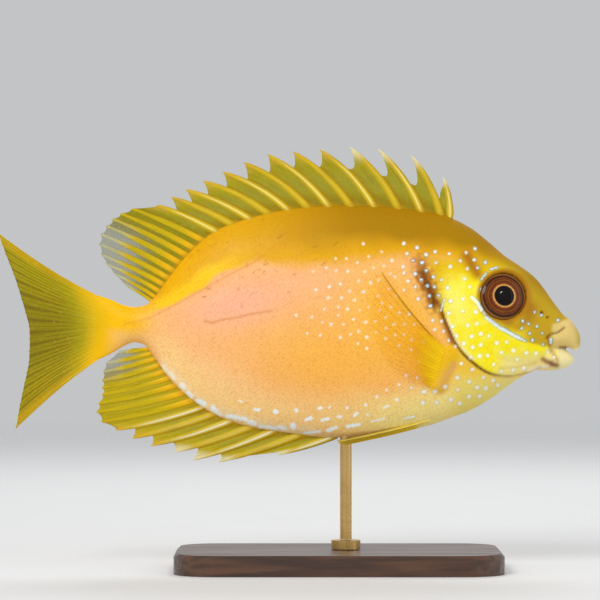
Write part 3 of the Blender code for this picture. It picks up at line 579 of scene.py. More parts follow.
# Spots: their places and their radius
SPOTS = (
    # the shoulder
    (traced(
        (363, 244), (403, 244), (416, 248), (434, 252), (381, 252), (406, 254), (425, 255), (448, 254),
        (335, 259), (346, 259), (357, 263), (368, 257), (391, 261), (412, 261), (421, 263), (435, 263),
        (459, 261), (313, 272), (326, 268), (336, 271), (347, 272), (364, 272), (373, 268), (383, 266),
        (402, 267), (425, 271), (449, 267), (466, 269), (389, 274), (394, 277), (403, 273), (414, 274),
        (432, 277), (340, 284), (358, 281), (370, 283), (378, 280), (407, 281), (420, 280), (440, 280),
        (463, 279), (414, 287), (426, 286), (433, 287), (316, 290), (329, 287), (349, 291), (363, 292),
        (388, 289), (403, 290), (428, 296), (437, 295.5), (328, 298), (341, 298), (354, 300), (377, 296),
        (395, 296), (417, 299), (429, 306), (465, 253), (474, 249), (473, 260), (476, 268), (484, 262.5),
    ), 0.6),
    # the flank
    (traced(
        (296, 315), (312, 317), (324, 309), (338, 307), (338, 315), (347, 309), (359, 310), (368, 307),
        (381, 303), (390, 307), (379, 310), (398, 313), (408, 314), (353, 319), (343, 324), (331, 324),
        (322, 322), (365, 322), (375, 321), (385, 317), (393, 324), (403, 324), (413, 324), (350, 334),
        (358, 331), (366, 337), (375, 332), (385, 328), (394, 335), (403, 334), (385, 338), (411, 339),
        (422, 341), (340, 337), (320, 335), (307, 333), (357, 343), (366, 348), (398, 345), (410, 349),
        (418, 361), (431, 320), (440, 321), (433, 329), (442, 331), (447, 340), (454, 346), (405, 375),
        (416, 377), (398, 384), (386, 389), (376, 396), (365, 404), (396, 399), (347, 407), (367, 414),
        (410, 387),
    ), 0.58),
    # the cheek
    (traced(
        (446, 288), (468, 287), (461, 299), (449, 301), (447, 313), (461, 311), (474, 312), (451, 326),
        (466, 325), (475, 323.5), (455, 335.5), (470, 336), (479, 333.5), (487, 335.5), (462, 343),
        (479, 344.5), (495, 342.5), (505, 342), (471, 347), (469, 357), (478, 355.5), (486, 355),
        (500, 352), (512, 350), (525, 352.5), (535, 353), (492, 364), (500, 371), (512, 369.5), (523, 368),
        (516, 359),
    ), 0.7),
    # the throat
    (traced(
        (460, 363), (471, 369), (456, 377), (468, 381), (482, 377), (492, 380), (444, 386), (457, 389),
        (476, 387), (485, 388), (468, 396), (423, 391), (434, 391), (497, 385), (450, 399), (436, 402),
        (479, 396), (459, 403), (422, 402),
    ), 0.76),
    # the jaws and the snout
    (traced(
        (531, 340), (541.5, 344.5), (546.5, 352), (553, 357), (520, 328), (527, 323.5), (535.5, 326),
        (541, 333), (533, 312), (540, 315), (557, 320), (528, 333), (521, 321),
    ), 0.52),
)
# A painted highlight on the upper rim of the gill opening, drawn as a pale mark
GILL_RIM_HIGHLIGHT = traced((442.5, 299), (441, 306), (439, 311))
# Pale lines and their radius: on the lip, a painted highlight on the gill's rim, under the eye and round it
PALE_LINES = (
    (traced((549.5, 339), (549.8, 342.5)), 0.5),
    (GILL_RIM_HIGHLIGHT, 0.28),
    (traced((470, 297), (475, 302), (480, 310)), 0.62),
    (traced((480, 310), (483, 314.5)), 0.35),
    (traced((484, 317), (491, 322.5), (498, 327.5), (506, 331.5), (512, 335), (518, 338)), 0.58),
    (traced((518, 338), (523.5, 340.5)), 0.4),
    (traced((479.5, 280), (482, 276.5), (485, 273.5)), 0.3),
    (traced((489, 269.5), (496, 267.5)), 0.3),
    (traced((479, 290), (479.3, 288.5)), 0.3),
)
# Dashes: their two ends in the photo and their half width in pixels
BEADS = (
    (154, 358, 156, 360, 1.0), (163, 366, 166, 370, 2.0), (170, 373, 174, 378, 2.4),
    (182, 384, 184, 387, 2.8), (189, 393, 191, 396, 2.8), (198, 401, 203, 403, 3.2),
    (213, 407, 216, 411, 2.8), (217, 413, 221, 415, 1.8), (227, 416, 236, 417, 2.3),
    (239, 418, 246, 419, 2.1), (249, 422, 255, 424, 2.4), (260, 426, 276, 428, 1.9),
    (279, 427, 285, 428, 2.2), (293, 424, 294, 427, 2.8), (304, 433, 320, 431, 1.6),
    (327, 430, 336, 427, 2.0), (347, 426, 358, 424, 2.0), (371, 421, 384, 418, 1.1),
    (403, 418, 414, 416, 1.1), (306, 419, 311, 418, 2.1), (322, 420, 328, 417.5, 1.9),
    (338, 416, 341, 416, 1.6), (354, 415, 357, 412, 1.6), (255, 409, 259, 409, 1.7),
    (275, 410, 277, 411, 2.1), (296, 409, 297, 410, 1.8), (319, 407, 321, 407, 1.6),
    (329, 407, 330, 406, 1.3), (239, 400, 242, 401, 1.0), (383, 407, 388, 405, 1.2),
)
BEAD_ROW = traced(
    (163, 366), (175, 377), (190, 395), (200, 402), (215, 411), (236, 417), (255, 423), (276, 428),
    (310, 432),
)
# A painted highlight along the raised edge of the gill cover
CHEEK_RIM_HIGHLIGHT = traced((446, 318), (450, 329), (455, 340), (463, 350), (472, 359))
BLOTCH_PATH = traced((419, 263), (422, 274), (426, 285), (430, 294), (433, 303))
BLOTCH_LINE = traced((415, 275), (418, 282), (422, 290))
STRIP_PATH = traced((440, 313), (444, 324), (448, 334), (451, 342))
BEHIND_EYE = traced((466, 258), (470, 265), (476, 272))
BELOW_EYE = traced((506, 324), (516, 326), (526, 318), (530, 308))
CHIN_MARKS = (traced((542, 359), (546, 361.5), (550, 362.5)), traced((551, 364), (556, 365)))
CHIN_LIGHT = traced((528, 370), (537, 367), (546, 366))
AXIL = traced((446, 349), (450, 351))
HAIRLINES = 46  # short dark strokes along the back and the upper flank
HAIRLINE_MIDDLE, HAIRLINE_SPREAD = (-12.0, 111.0), (19.0, 6.0)


def hairlines(x, z):
    """How much each point lies on one of the short dark strokes of the back."""
    draw = np.random.default_rng(SEED + 6)
    weight = np.zeros(len(x))
    for _ in range(HAIRLINES):
        cx, cz = draw.normal(HAIRLINE_MIDDLE, HAIRLINE_SPREAD)
        turn, half = math.radians(draw.normal(35, 30)), draw.uniform(0.3, 0.9)
        dx, dz = half * math.cos(turn), half * math.sin(turn)
        stroke = near(x, z, [(cx - dx, cz - dz), (cx + dx, cz + dz)], 0.2)
        weight = np.maximum(weight, draw.uniform(0.3, 0.9) * stroke)
    return weight


def pale_marks(seed, jitter):
    """All the pale marks of one side, with the painted highlight on the gill's rim among them: two ends and
    a radius each.
    """
    draw = np.random.default_rng(seed)
    marks = []
    for places, radius in SPOTS:
        for x, z in places:
            px, pz = x + draw.normal(0, jitter), z + draw.normal(0, jitter)
            marks.append((px, pz, px, pz, radius * draw.uniform(0.85, 1.15)))
    for path, radius in PALE_LINES:
        marks += segments(path, radius)
    for ax, ay, bx, by, half in BEADS:
        start, end = np.array(traced((ax, ay), (bx, by)))
        radius = half * PHOTO_MM
        marks.append((*start, *end, 0.85 * radius))
        for share in (0.05, 0.5, 0.95):
            lump = start + (end - start) * share + draw.normal(0, 0.25 * radius, 2)
            marks.append((*lump, *lump, radius * draw.uniform(0.75, 1.2)))
    return marks


def patch_weight(x, z, middle, halves, tilt, strength):
    """The weight of a soft oval patch of colour."""
    cx, cz = photo_place(*middle)
    turn = math.radians(tilt)
    along = (x - cx) * math.cos(turn) + (z - cz) * math.sin(turn)
    across = (z - cz) * math.cos(turn) - (x - cx) * math.sin(turn)
    return strength * np.exp(-(((along / halves[0]) ** 2 + (across / halves[1]) ** 2) ** 1.2))


def above_stripe(x, z):
    """1 on the face above the stripe under the eye."""
    return ease(-0.6, 0.6, z - STRIPE_LINE(x)) * ease(62, 66, x)


def tail_fade(x, z):
    """How far the body's gold has turned into the tail fin's olive, from 0 to 1."""
    return ease(*TAIL_FADE, -x - 0.35 * np.abs(z - 90) + 1.1 * mottle(x, z, 6, SEED + 4))


def skin_paint(x, z):
    """The skin's colour, without its pale marks."""
    uneven = mottle(x, z, 7, SEED + 1)
    above = z - BACK_LINE(x) + 0.9 * uneven
    rim = 0.9 * fall(4, 20, z - TRUNK.belly(x) + uneven)
    band = ease(-0.6, 0.8, above) * fall(3.0, 7.0, above)
    tail = fall(-56, -42, x)
    golden = np.maximum(ease(86.5, 91, z + uneven), fall(-65, -56, x))
    return layered(
        FLANK,
        *((colour, patch_weight(x, z, *patch)) for colour, *patch in SKIN_PATCHES),
        (BELLY_REAR, rim * ease(-50, -40, x)),
        (BELLY, rim * ease(5, 45, x)),
        (GLOW, 0.6 * near(x, z, BEAD_ROW, 1.9)),
        (BACK_LOW, ease(-1.5 - 3 * ease(-20, 10, x), 2.2, above)),
        (BACK, ease(0.8, 11 - 4 * ease(22, 40, x), above) * ease(-25, 30, x)),
        (GOLD, patch_weight(x, z, *RUMP_PATCH)),
        (BAND, 0.9 * band * ease(-52, -44, x) * fall(-28, -10, x)),
        (TAIL_UNDER, tail),
        (GOLD, tail * golden),
        (TAIL_ROOT, tail_fade(x, z)),
        # painted shade in the flank's crease
        (CREASE, 0.6 * near(x, z, FLANK_CREASE, 0.4)),
        (CREASE, 0.35 * near(x, z, LATERAL_LINE[6:], 0.4)),
        (BROWN, 0.8 * hairlines(x, z) * (x < 30)),
        *head_layers(x, z, uneven),
        *snout_layers(x, z),
    )


def head_layers(x, z, uneven):
    """The colours of the head and of what is round it, with their weights, painted shade and a painted
    highlight among them.
    """
    angle, distance = polar(x, z)
    gill = GILL_RADIUS(angle)
    edge = 0.25 + 3.5 * (1 - ease(168, 178, angle) * (angle < 300))
    inside = fall(gill - edge, gill + edge, distance)
    outside = 1 - inside
    head = ease(44, 54, x + 0.25 * (z - 100))
    lighter = 0.3 * inside * np.clip(mottle(x, z, 3, SEED + 3), 0, 1) * (z < 108)
    over = above_stripe(x, z)
    ragged = 1 + 0.45 * mottle(x, z, 1.5, SEED + 2)
    ring = eye_distance(x, z)
    slit = hump(distance - gill - 0.5, 0.4) * ease(176, 184, angle) * (angle < 292)
    return (
        (BREAST, 0.8 * head * fall(80, 88, z)),
        (NAPE, head * fall(110, 116.5, z + uneven) * ease(88, 97, z)),
        (CHEEK_YELLOW, inside * fall(103.5, 113, z + uneven)),
        (CHEEK_PALE, lighter + patch_weight(x, z, *CHEEK_PATCH)),
        (SNOUT, over * inside * ease(76, 84, x)),
        (BACK, 0.8 * over * ease(-4, 3, z - (112 - 0.62 * (x - 70)) + uneven)),
        (CHIN, 0.8 * fall(78, 82.5, z + 0.5 * uneven) * ease(69, 75, x)),
        (THROAT, 0.9 * fall(70.5, 76.5, z + uneven) * ease(50, 64, x)),
        (BROWN, 0.75 * near(x, z, BLOTCH_PATH, 2.8 * ragged) * outside),
        (BLOTCH, 0.95 * near(x, z, BLOTCH_PATH[1:], 1.75 * ragged) * outside),
        (BROWN, 0.8 * near(x, z, BLOTCH_LINE, 0.5)),
        (BROWN, 0.9 * near(x, z, STRIP_PATH, 1.2) * outside),
        # painted shade in the axil behind the pectoral fin's base
        (RECESS_SHADE, 0.8 * near(x, z, AXIL, 0.5)),
        (BROWN, 0.85 * near(x, z + uneven, BEHIND_EYE, 2.3)),
        (BROWN, 0.7 * near(x, z, BELOW_EYE, 2.4) * over),
        (BROWN, 0.8 * fall(8.6, 10.2, ring)),
        # painted shade in the eye's socket and in the gill slit behind the cover
        (RECESS_SHADE, fall(7.4, 8.1, ring)),
        (RECESS_SHADE, 0.95 * slit * (1 - 0.75 * ease(240, 268, angle))),
        # a painted highlight along the edge of the gill cover
        (CREAM, 0.6 * near(x, z, CHEEK_RIM_HIGHLIGHT, 0.45)),
    )


def snout_layers(x, z):
    """The colours of the lips, the mouth, the chin, the nostrils and the pectoral fin's base, with painted
    shade in the mouth's slit, the groove over the lip and the nostrils.
    """
    lip = ease(89.0, 90.6, x) * fall(90.6, 92.0, z - 0.35 * (x - 91))
    folds = 0.7 + 0.3 * np.sin(x * 5 + z)
    return (
        (LIP, lip * (z > 82.6)),
        (LIP_FRONT, 0.6 * lip * ease(97.0, 99.6, x) * (z > 84)),
        (LOWER_LIP, ease(91.0, 92.6, x) * fall(82.6, 83.2, z)),
        (CHIN, 0.8 * ease(86, 90, x) * fall(90.6, 92.6, x) * (z < 82.6)),
        (CREAM, 0.8 * near(x, z, CHIN_LIGHT, 0.6)),
        *((CHIN_BROWN, 0.9 * near(x, z, mark, 0.9)) for mark in CHIN_MARKS),
        # painted shade in the groove over the upper lip, at the lip's corner and in the mouth's slit
        (MOUTH_SHADE, 0.75 * near(x, z, UPPER_LIP_GROOVE, 0.4)),
        (BROWN, 0.5 * near(x, z, LIP_CORNER, 0.6)),
        (MOUTH_SHADE, 0.85 * near(x, z, MOUTH_LINE[1:], 0.55)),
        # painted shade in the chin's folds
        *((CREASE, 0.2 * near(x, z, fold, 0.4)) for fold in CHIN_FOLDS),
        # painted shade in the nostrils
        *((RECESS_SHADE, 0.8 * fall(0.3, 1.0, np.hypot(x - nx, z - nz) / radius)) for nx, nz, radius in NOSTRILS),
        (LOBE, 0.9 * fall(1.8, 4.6, path_distance(x, z, PECTORAL_BASE))),
        (FIN_BASE, 0.85 * folds * fall(0.2, 2.4, path_distance(x, z, PECTORAL_SKIN))),
    )


def mark_paint(x, z):
    """The colour of the pale marks, which are warmer on the flank and bluer on dark skin."""
    return layered(
        MARK,
        (MARK_FRONT, ease(34, 44, x)),
        (MARK_LOW, fall(62, 70, z + 0.25 * np.minimum(x + 20, 0))),
        (MARK_CHEEK, ease(52, 58, x) * (z > 76) * (z < 104)),
        (MARK_BLOTCH, near(x, z, BLOTCH_PATH, 3.5)),
        (MARK_FACE, above_stripe(x, z + 0.5)),
        (MARK_THROAT, ease(46, 50, x) * (z < 76) * 0.7),
    )


def build_skin():
    skin = build_skin_mesh()
    x, y, z = points_of(skin).T
    right, left = (mark_distance(x, z, pale_marks(*how)) for how in ((SEED, 0.0), (SEED + 5, 0.5)))
    dark = near(x, z, BLOTCH_PATH, 4) + above_stripe(x, z + 0.5)
    give(
        skin,
        paint=skin_paint(x, z),
        mark=mark_paint(x, z),
        pale=np.where(y < 0, right, left),
        ringed=np.clip(0.25 * ease(34, 42, x) + dark, 0, 1),
        flecked=ease(-66, -52, x) * (1 - 0.6 * ease(46, 60, x)),
    )
    dress(skin, skin_material(), "skin", *FLESH_NODES)


# Fins

RAY_ACROSS = (-1.0, -0.7, -0.35, 0.0, 0.35, 0.7, 1.0)
WEB_ACROSS = (0.1, 0.26, 0.42, 0.58, 0.74, 0.9)
WEB_ROWS, TIP_ROWS = 28, 6
WEB_HALF, TIP_HALF = 0.18, 0.03
# Colours of a fin's spiny membrane, its soft membrane and the painted highlight lines along its spines
DORSAL_LOOK = ((166, 154, 8), (146, 136, 4), (250, 236, 140))
ANAL_LOOK = ((190, 170, 6), (184, 164, 4), (240, 244, 214))
# Other colours of the fins
FIN_FOOT, WEB_MIDDLE, WEB_FOOT = (188, 144, 6), (150, 146, 52), (136, 104, 2)
SPINE, SPINE_FOOT = (206, 174, 4), (164, 122, 2)
SPINE_TIP_FRONT, SPINE_TIP = (236, 228, 180), (214, 172, 60)
SOFT_RAY, SOFT_RAY_ROOT, SOFT_RAY_TIP = (198, 172, 4), (240, 182, 10), (190, 190, 140)
SOFT_WEB_REAR, SOFT_FOOT = (126, 128, 90), (140, 110, 2)
CAUDAL_WEB, CAUDAL_MIDDLE, CAUDAL_LOW = (170, 156, 0), (140, 128, 0), (162, 136, 0)
CAUDAL_DARK, CAUDAL_RIM = (104, 84, 0), (206, 166, 4)
PECTORAL_WEB, PECTORAL_RAY, PECTORAL_UPPER = (255, 194, 0), (190, 98, 0), (150, 84, 4)
# The last colour is a painted highlight along each pelvic fin's outer spine
PELVIC_WEB, PELVIC_RAY, PELVIC_SPINE_HIGHLIGHT = (186, 146, 16), (232, 196, 50), (255, 244, 150)
RIDGE_TIP = 0.12
RIDGE_MOST = 0.31  # a ridge's half width is at most this share of the way to the next ray


class Ray:
    """One fin ray: its line, the half height and half width of its ridge, whether it is hard, and how far
    along it the ridge has its full height."""

    def __init__(self, line, radius, width, hard, full=0.0):
        self.line, self.radius, self.width, self.hard, self.full = line, radius, width, hard, full

    def half_width(self, t):
        if self.hard:
            return 0.07 + (self.width - 0.07) * np.clip(1 - t, 0, 1) ** 0.42
        return self.width * (1 - 0.55 * ease(0.5, 0.95, t))

    def half_height(self, t, across):
        body = RIDGE_TIP + (self.radius - RIDGE_TIP) * np.clip(1 - t, 0, 1) ** 0.75
        body = body * ease(-0.01, self.full, t)
        single = math.sqrt(1 - across**2 * 0.92)
        if self.hard:
            return body * single
        split = ease(0.3, 0.6, t)
        return body * (single * (1 - split) + (1 - 1.6 * abs(abs(across) - 0.6)) * split)


def bowed_line(root, tip, bow, sink=0.0):
    """A line from root to tip that bows to one side in the side view, its root sunk into the flesh."""
    root, tip = np.array(root, float), np.array(tip, float)
    root = root + unit(root - tip) * sink
    along = tip - root
    aside = np.array([-along[2], 0.0, along[0]]) * bow * 4
    return lambda t: root + np.outer(t, along) + np.outer(t * (1 - t), aside)


def over_ray(rays, i, across, t, normal):
    """Points over one ray: across is -1 at the front foot of its ridge and 1 at the rear one."""
    ray = rays[i]
    step = unit(ray.line(t + 0.01) - ray.line(t - 0.01))
    front, rear = max(i - 1, 0), min(i + 1, len(rays) - 1)
    towards = rays[rear].line(t) - rays[front].line(t)
    aside = unit(np.cross(step, normal))
    reach = (aside * towards).sum(axis=1)
    half = np.minimum(ray.half_width(t), RIDGE_MOST * np.abs(reach) / (rear - front))
    if ray.hard:
        return ray.line(t) + aside * (np.sign(reach) * across * half)[:, None]
    least = 0.3 * np.linalg.norm(towards, axis=1)
    return ray.line(t) + towards * (across * half / np.maximum(np.abs(reach), least))[:, None]


def ray_shares(reach):
    """How far along its ray each row of points lies: the membrane's rows, then those of the free tip."""
    low = np.linspace(0, reach, WEB_ROWS + 1)
    return np.concatenate([low, np.linspace(reach, 1, TIP_ROWS + 1)[1:]])


def fin_mesh(name, rays, webs, scallop=0.0, billow=0.0, normal=(0, 1, 0), seed=0, root=(0.0, 1.0)):
    """A fin as one closed sheet, and what its paint needs at each point: the ray's number, with a quarter
    for half a ridge, how far along the ray it is, and the side it faces. root is how much thicker each half
    of the sheet is at the middle of its root, and how far out that reaches."""
    draw = np.random.default_rng(seed)
    normal = np.array(normal, float)
    rows = WEB_ROWS + 1 + TIP_ROWS
    web_shares = np.concatenate([np.linspace(0, 1, WEB_ROWS + 1), np.ones(TIP_ROWS)])
    least = np.where(np.arange(rows) <= WEB_ROWS, WEB_HALF, TIP_HALF)
    strips = []
    for i, ray in enumerate(rays):
        behind, ahead, hollow = webs[i - 1] if i else (EDGE_REACH, EDGE_REACH, 1)
        bulge = billow * draw.choice((-1, 1)) * draw.uniform(0.5, 1)
        for f in WEB_ACROSS if i else ():
            middle = 4 * f * (1 - f)
            t = web_shares * (ahead + (behind - ahead) * (1 - f) ** hollow - scallop * middle)
            front, rear = over_ray(rays, i - 1, 1, t, normal), over_ray(rays, i, -1, t, normal)
            lift = normal * (bulge * middle * np.sin(math.pi * web_shares))[:, None]
            place = front * (1 - f) + rear * f + lift
            strips.append((place, np.full(rows, WEB_HALF), i - 0.75 + f / 2, t, True))
        reach = webs[i][0] if i < len(rays) - 1 else EDGE_REACH
        for across in RAY_ACROSS:
            t = ray_shares(ahead) * (1 - across) / 2 + ray_shares(reach) * (1 + across) / 2
            height = np.maximum(ray.half_height(t, across), least)
            strips.append((over_ray(rays, i, across, t, normal), height, i + across / 4, t, False))
    points, halves, number, along, free = (np.array(part) for part in zip(*strips))
    number = np.repeat(number, rows).reshape(-1, rows)
    away = np.linalg.norm(points - points[:, :1], axis=2)
    across = number / (len(rays) - 1) * 2 - 1
    halves += root[0] * np.clip(1 - across**2, 0, 1) * np.clip(1 - away / root[1], 0, 1) ** 1.5
    made, used = closed_sheet(name, points, halves, normal, free)
    face = np.repeat([1, -1], halves.size)
    return made, [part[used] for part in (np.tile(number.ravel(), 2), np.tile(along.ravel(), 2), face)]


def closed_sheet(name, middle, halves, normal, free):
    """A closed solid round a grid of middle points, and which of its points are used. Cells between rays,
    which are free, stop where the membrane ends."""
    columns_count, rows = halves.shape
    shift = halves[:, :, None] * normal
    points = np.concatenate([(middle + shift).reshape(-1, 3), (middle - shift).reshape(-1, 3)])
    layer = columns_count * rows
    faces, edges = [], set()
    for i in range(columns_count - 1):
        for k in range(WEB_ROWS if free[i] or free[i + 1] else rows - 1):
            a, b = i * rows + k, (i + 1) * rows + k
            loop = (a, b, b + 1, a + 1)
            faces += [loop, tuple(v + layer for v in reversed(loop))]
            edges.update(zip(loop, loop[1:] + loop[:1]))
    faces += [(b, a, a + layer, b + layer) for a, b in edges if (b, a) not in edges]
    used, order = np.unique([v for face in faces for v in face], return_inverse=True)
    order = iter(order.tolist())
    faces = [tuple(next(order) for _ in face) for face in faces]
    return mesh_object(name, points[used], faces), used


def ray_distance(number):
    """How far each point is from its ray, in steps from one ray to the next."""
    return np.abs((number + 0.5) % 1 - 0.5)


def ridge_weights(number, face):
    """Weights of a fin's ridges, the painted highlight line along each, stronger on alternate spines, and
    the dark foot in front of each.
    """
    away = ray_distance(number)
    # painted highlight: a bright line along each ray's crest, stronger on alternate spines from one side to
    # the other
    line = hump(away, 0.07) * (0.6 - 0.4 * face * np.cos(math.pi * np.round(number)))
    return fall(0.2, 0.29, away), line, hump(number % 1 - 0.74, 0.07)


def spiny_paint(number, along, face, web, spine_highlight):
    """The colours of the spiny part of a fin: gold ridges with a painted highlight line, olive membrane
    between.
    """
    ridge, line, foot = ridge_weights(number, face)
    tips, front = ease(0.72, 0.95, along), fall(3.3, 4.2, number)
    return layered(
        web,
        (WEB_MIDDLE, 0.5 * hump(along - 0.42, 0.22)),
        (WEB_FOOT, 0.6 * fall(0.1, 0.35, along)),
        (SPINE, ridge),
        (SPINE_FOOT, 0.7 * foot),
        # the painted highlight along the spines
        (spine_highlight, 0.85 * line * fall(0.55, 0.9, along)),
        (SPINE_TIP_FRONT, 0.8 * tips * front),
        (SPINE_TIP, 0.5 * tips * (1 - front)),
    )


def soft_paint(number, along, face, web, far):
    """The colours of soft rays: gold strips that end in thin pale ones, with grey-green membrane between."""
    ridge, _, foot = ridge_weights(number, face)
    strip = layered(
        SOFT_RAY,
        (SOFT_RAY_ROOT, fall(0.05, 0.4, along)),
        (SOFT_RAY_TIP, ease(0.6, 0.85, along) * far),
    )
    return layered(
        web,
        (SOFT_WEB_REAR, ease(0.3, 0.7, along) * far),
        (strip, ridge),
        (SOFT_FOOT, 0.45 * foot * (1 - far * 0.6)),
    )


def finish_fin(made, values, paint, clear, slot, *nodes):
    give(made, paint=paint, clear=clear, number=values[0], along=values[1])
    dress(made, fin_material(made.name), slot, *nodes)


def median_rays(table, spines, up):
    """The rays of the dorsal fin (up 1) or anal fin (up -1)."""
    edge = TRUNK.back if up > 0 else TRUNK.belly
    curves = columns(table)
    rays = []
    for number in range(1, table[-1][0] + 1):
        x, reach, slope = (float(curve(number)) for curve in curves)
        lean = math.radians(slope)
        run, rise = (math.sin(lean), math.cos(lean)) if up > 0 else (math.cos(lean), math.sin(lean))
        z = float(edge(x)) + up * 0.3
        tip = (x - run * reach, 0, z + up * rise * reach)
        bow = RAY_BOW + DORSAL_BOW * (up > 0) * fall(8, 14, number)
        line = bowed_line((x, 0, z - up * ROOT_SINK), tip, -up * bow, ROOT_SINK)
        hard = number <= spines
        rays.append(Ray(line, *(SPINE_RIDGE if hard else SOFT_RIDGE), hard))
    return rays


def build_median_fin(name, table, web_table, spines, up, far_from, look, nodes):
    """The dorsal or anal fin, its spiny and its soft part in one. far_from is the ray from which the soft
    part is clear between its rays, and look the colours of its two membranes and of the painted highlight
    lines on the spines."""
    spiny_web, soft_web, spine_highlight = look
    rays = median_rays(table, spines, up)
    reaches = columns(web_table)
    webs = [tuple(float(reach(n)) for reach in reaches) for n in range(1, spines)]
    webs += [SOFT_WEB] * (len(rays) - len(webs))
    made, values = fin_mesh(name, rays, webs, scallop=0.012, billow=0.2, seed=SEED + len(rays))
    number, along, face = values
    far = ease(far_from - 2, far_from + 1, number)
    paint = layered(
        spiny_paint(*values, spiny_web, spine_highlight),
        (soft_paint(*values, soft_web, far), ease(spines - 0.75, spines - 0.25, number)),
        (FIN_FOOT, 0.75 * fall(0.04, 0.14, along)),
    )
    ridge = ridge_weights(number, face)[0]
    between = (1 - ridge) * (0.06 + 0.6 * far * ease(0.2, 0.65, along))
    clear = between + 0.3 * far * ease(0.7, 0.9, along) * ridge
    finish_fin(made, values, paint, clear, "fin", *nodes)


def build_caudal_fin():
    """The tail fin, both lobes in one."""
    tip_x, tip_z = columns(CAUDAL_EDGE)
    root_x, top, bottom = CAUDAL_ROOT
    part = 0.5 / (2 * CAUDAL_RAYS - 1)
    lobes = (np.linspace(0, 0.5 - part, CAUDAL_RAYS), np.linspace(0.5 + part, 1, CAUDAL_RAYS))
    rays = []
    for share in np.concatenate(lobes):
        tip = (float(tip_x(share)), 0, float(tip_z(share)))
        root = (root_x, 0, top + (bottom - top) * share)
        line = bowed_line(root, tip, CAUDAL_BOW * (0.5 - share), CAUDAL_SINK)
        ridge = CAUDAL_EDGE_RIDGE if share in (0, 1) else CAUDAL_RIDGE
        rays.append(Ray(line, *ridge, hard=False, full=0.65))
    webs = [(0.995, 0.995, 1)] * len(rays)
    made, values = fin_mesh("fin_caudal", rays, webs, billow=0.1, seed=SEED + 20, root=(1.9, 16.0))
    number, along, _ = values
    x, _, z = points_of(made).T
    last = len(rays) - 1
    away = ray_distance(number)
    dark = hump(away, 0.07) * ease(0.4, 0.6, along)
    dark = np.maximum(dark, hump(away - 0.5, 0.1) * ease(0.15, 0.3, along))
    rim = np.maximum(fall(0.4, 1.6, number), ease(last - 1.6, last - 0.4, number))
    paint = layered(
        CAUDAL_WEB,
        (CAUDAL_MIDDLE, 0.9 * ease(0.2, 0.9, 1 - np.abs(number / last * 2 - 1))),
        (CAUDAL_LOW, 0.6 * ease(last * 0.6, last, number)),
        (CAUDAL_DARK, 0.75 * dark),
        (CAUDAL_RIM, 0.7 * rim),
        (TAIL_ROOT, fall(65, 80, -x)),
        (GOLD, 1 - tail_fade(x, z)),
    )
    clear = 0.08 * ease(0.6, 1, along)
    finish_fin(made, values, paint, clear, "fin", "caudal_fin_upper", "caudal_fin_lower")


def pectoral_line(root, tip, side):
    """A ray of a pectoral fin, which lies back along the flank and lifts off it towards its tip."""
    flat = bowed_line(root, tip, 0.03)

    def line(t):
        x, _, z = flat(t).T
        away = np.hypot(x - root[0], z - root[2])
        seat = PECTORAL_SEAT * ease(-1.5, 6, away)
        lift = seat + PECTORAL_LIFT * (away / PECTORAL_LONGEST) ** PECTORAL_LIFT_POWER
        return np.stack([x, side * (TRUNK.half_at(x, z) + lift), z], axis=1)

    return line


def build_pectoral_fin(side, word):
    """A pectoral fin laid back along the flank."""
    length, direction = columns(PECTORAL)
    upper, lower = np.array(PECTORAL_ROOT)
    rays = []
    for share in np.linspace(0, 1, PECTORAL_RAYS):
        turn = math.radians(float(direction(share)))
        root = upper + (lower - upper) * share
        tip = root + float(length(share)) * np.array([math.cos(turn), 0, math.sin(turn)])
        rays.append(Ray(pectoral_line(root, tip, side), *PECTORAL_RIDGE, hard=share == 0))
    made, values = fin_mesh(
        f"fin_pectoral_{word}", rays, [(0.98, 0.98, 1)] * PECTORAL_RAYS, scallop=0.01, billow=0.08,
        normal=(0, side, 0), seed=SEED + 30, root=(0.4, 12.0),
    )
    number, along, _ = values
    dashes = 0.65 + 0.35 * np.sin(along * 75 + number * 9)
    ray_line = hump(ray_distance(number), 0.1) * (0.45 + 0.55 * ease(0.4, 0.7, along)) * dashes
    upper_edge = hump(number, 0.3)
    paint = layered(
        PECTORAL_WEB,
        (FIN_YELLOW, fall(0.1, 0.45, along)),
        (PECTORAL_RAY, 0.9 * ray_line * ease(0.12, 0.35, along)),
        (PECTORAL_UPPER, 0.8 * upper_edge * ease(0.1, 0.3, along)),
    )
    clear = ease(-0.05, 0.52, along + 0.03 * np.cos(number * 2.1)) * 0.91
    clear = clear * (1 - 0.65 * np.maximum(ray_line, upper_edge))
    finish_fin(made, values, paint, clear, "web", f"pectoral_fin_{word}")


def build_pelvic_fin(side, word):
    """A pelvic fin folded back under the belly: a spine at each edge and three rays between."""
    mirror = np.array([1, side, 1])
    outer, inner = np.array(PELVIC_OUTER) * mirror, np.array(PELVIC_INNER) * mirror
    rays = []
    for share in np.linspace(0, 1, PELVIC_RAYS):
        root, tip = outer * (1 - share) + inner * share
        hard = share in (0, 1)
        line = bowed_line(root, tip, 0.012, 0.5)
        rays.append(Ray(line, *(PELVIC_SPINE_RIDGE if hard else PELVIC_RIDGE), hard))
    made, values = fin_mesh(
        f"fin_pelvic_{word}", rays, [(0.93, 0.93, 1)] * PELVIC_RAYS, scallop=0.02, billow=0.1,
        normal=np.array(PELVIC_NORMAL) * mirror, seed=SEED + 40,
    )
    number, _, face = values
    ridge = ridge_weights(number, face)[0]
    # the outer spine gets a painted highlight line
    paint = layered(PELVIC_WEB, (PELVIC_RAY, ridge), (PELVIC_SPINE_HIGHLIGHT, 0.8 * hump(number, 0.15)))
    finish_fin(made, values, paint, 0.08 * (1 - ridge), "fin", f"pelvic_fin_{word}")


# Eyes

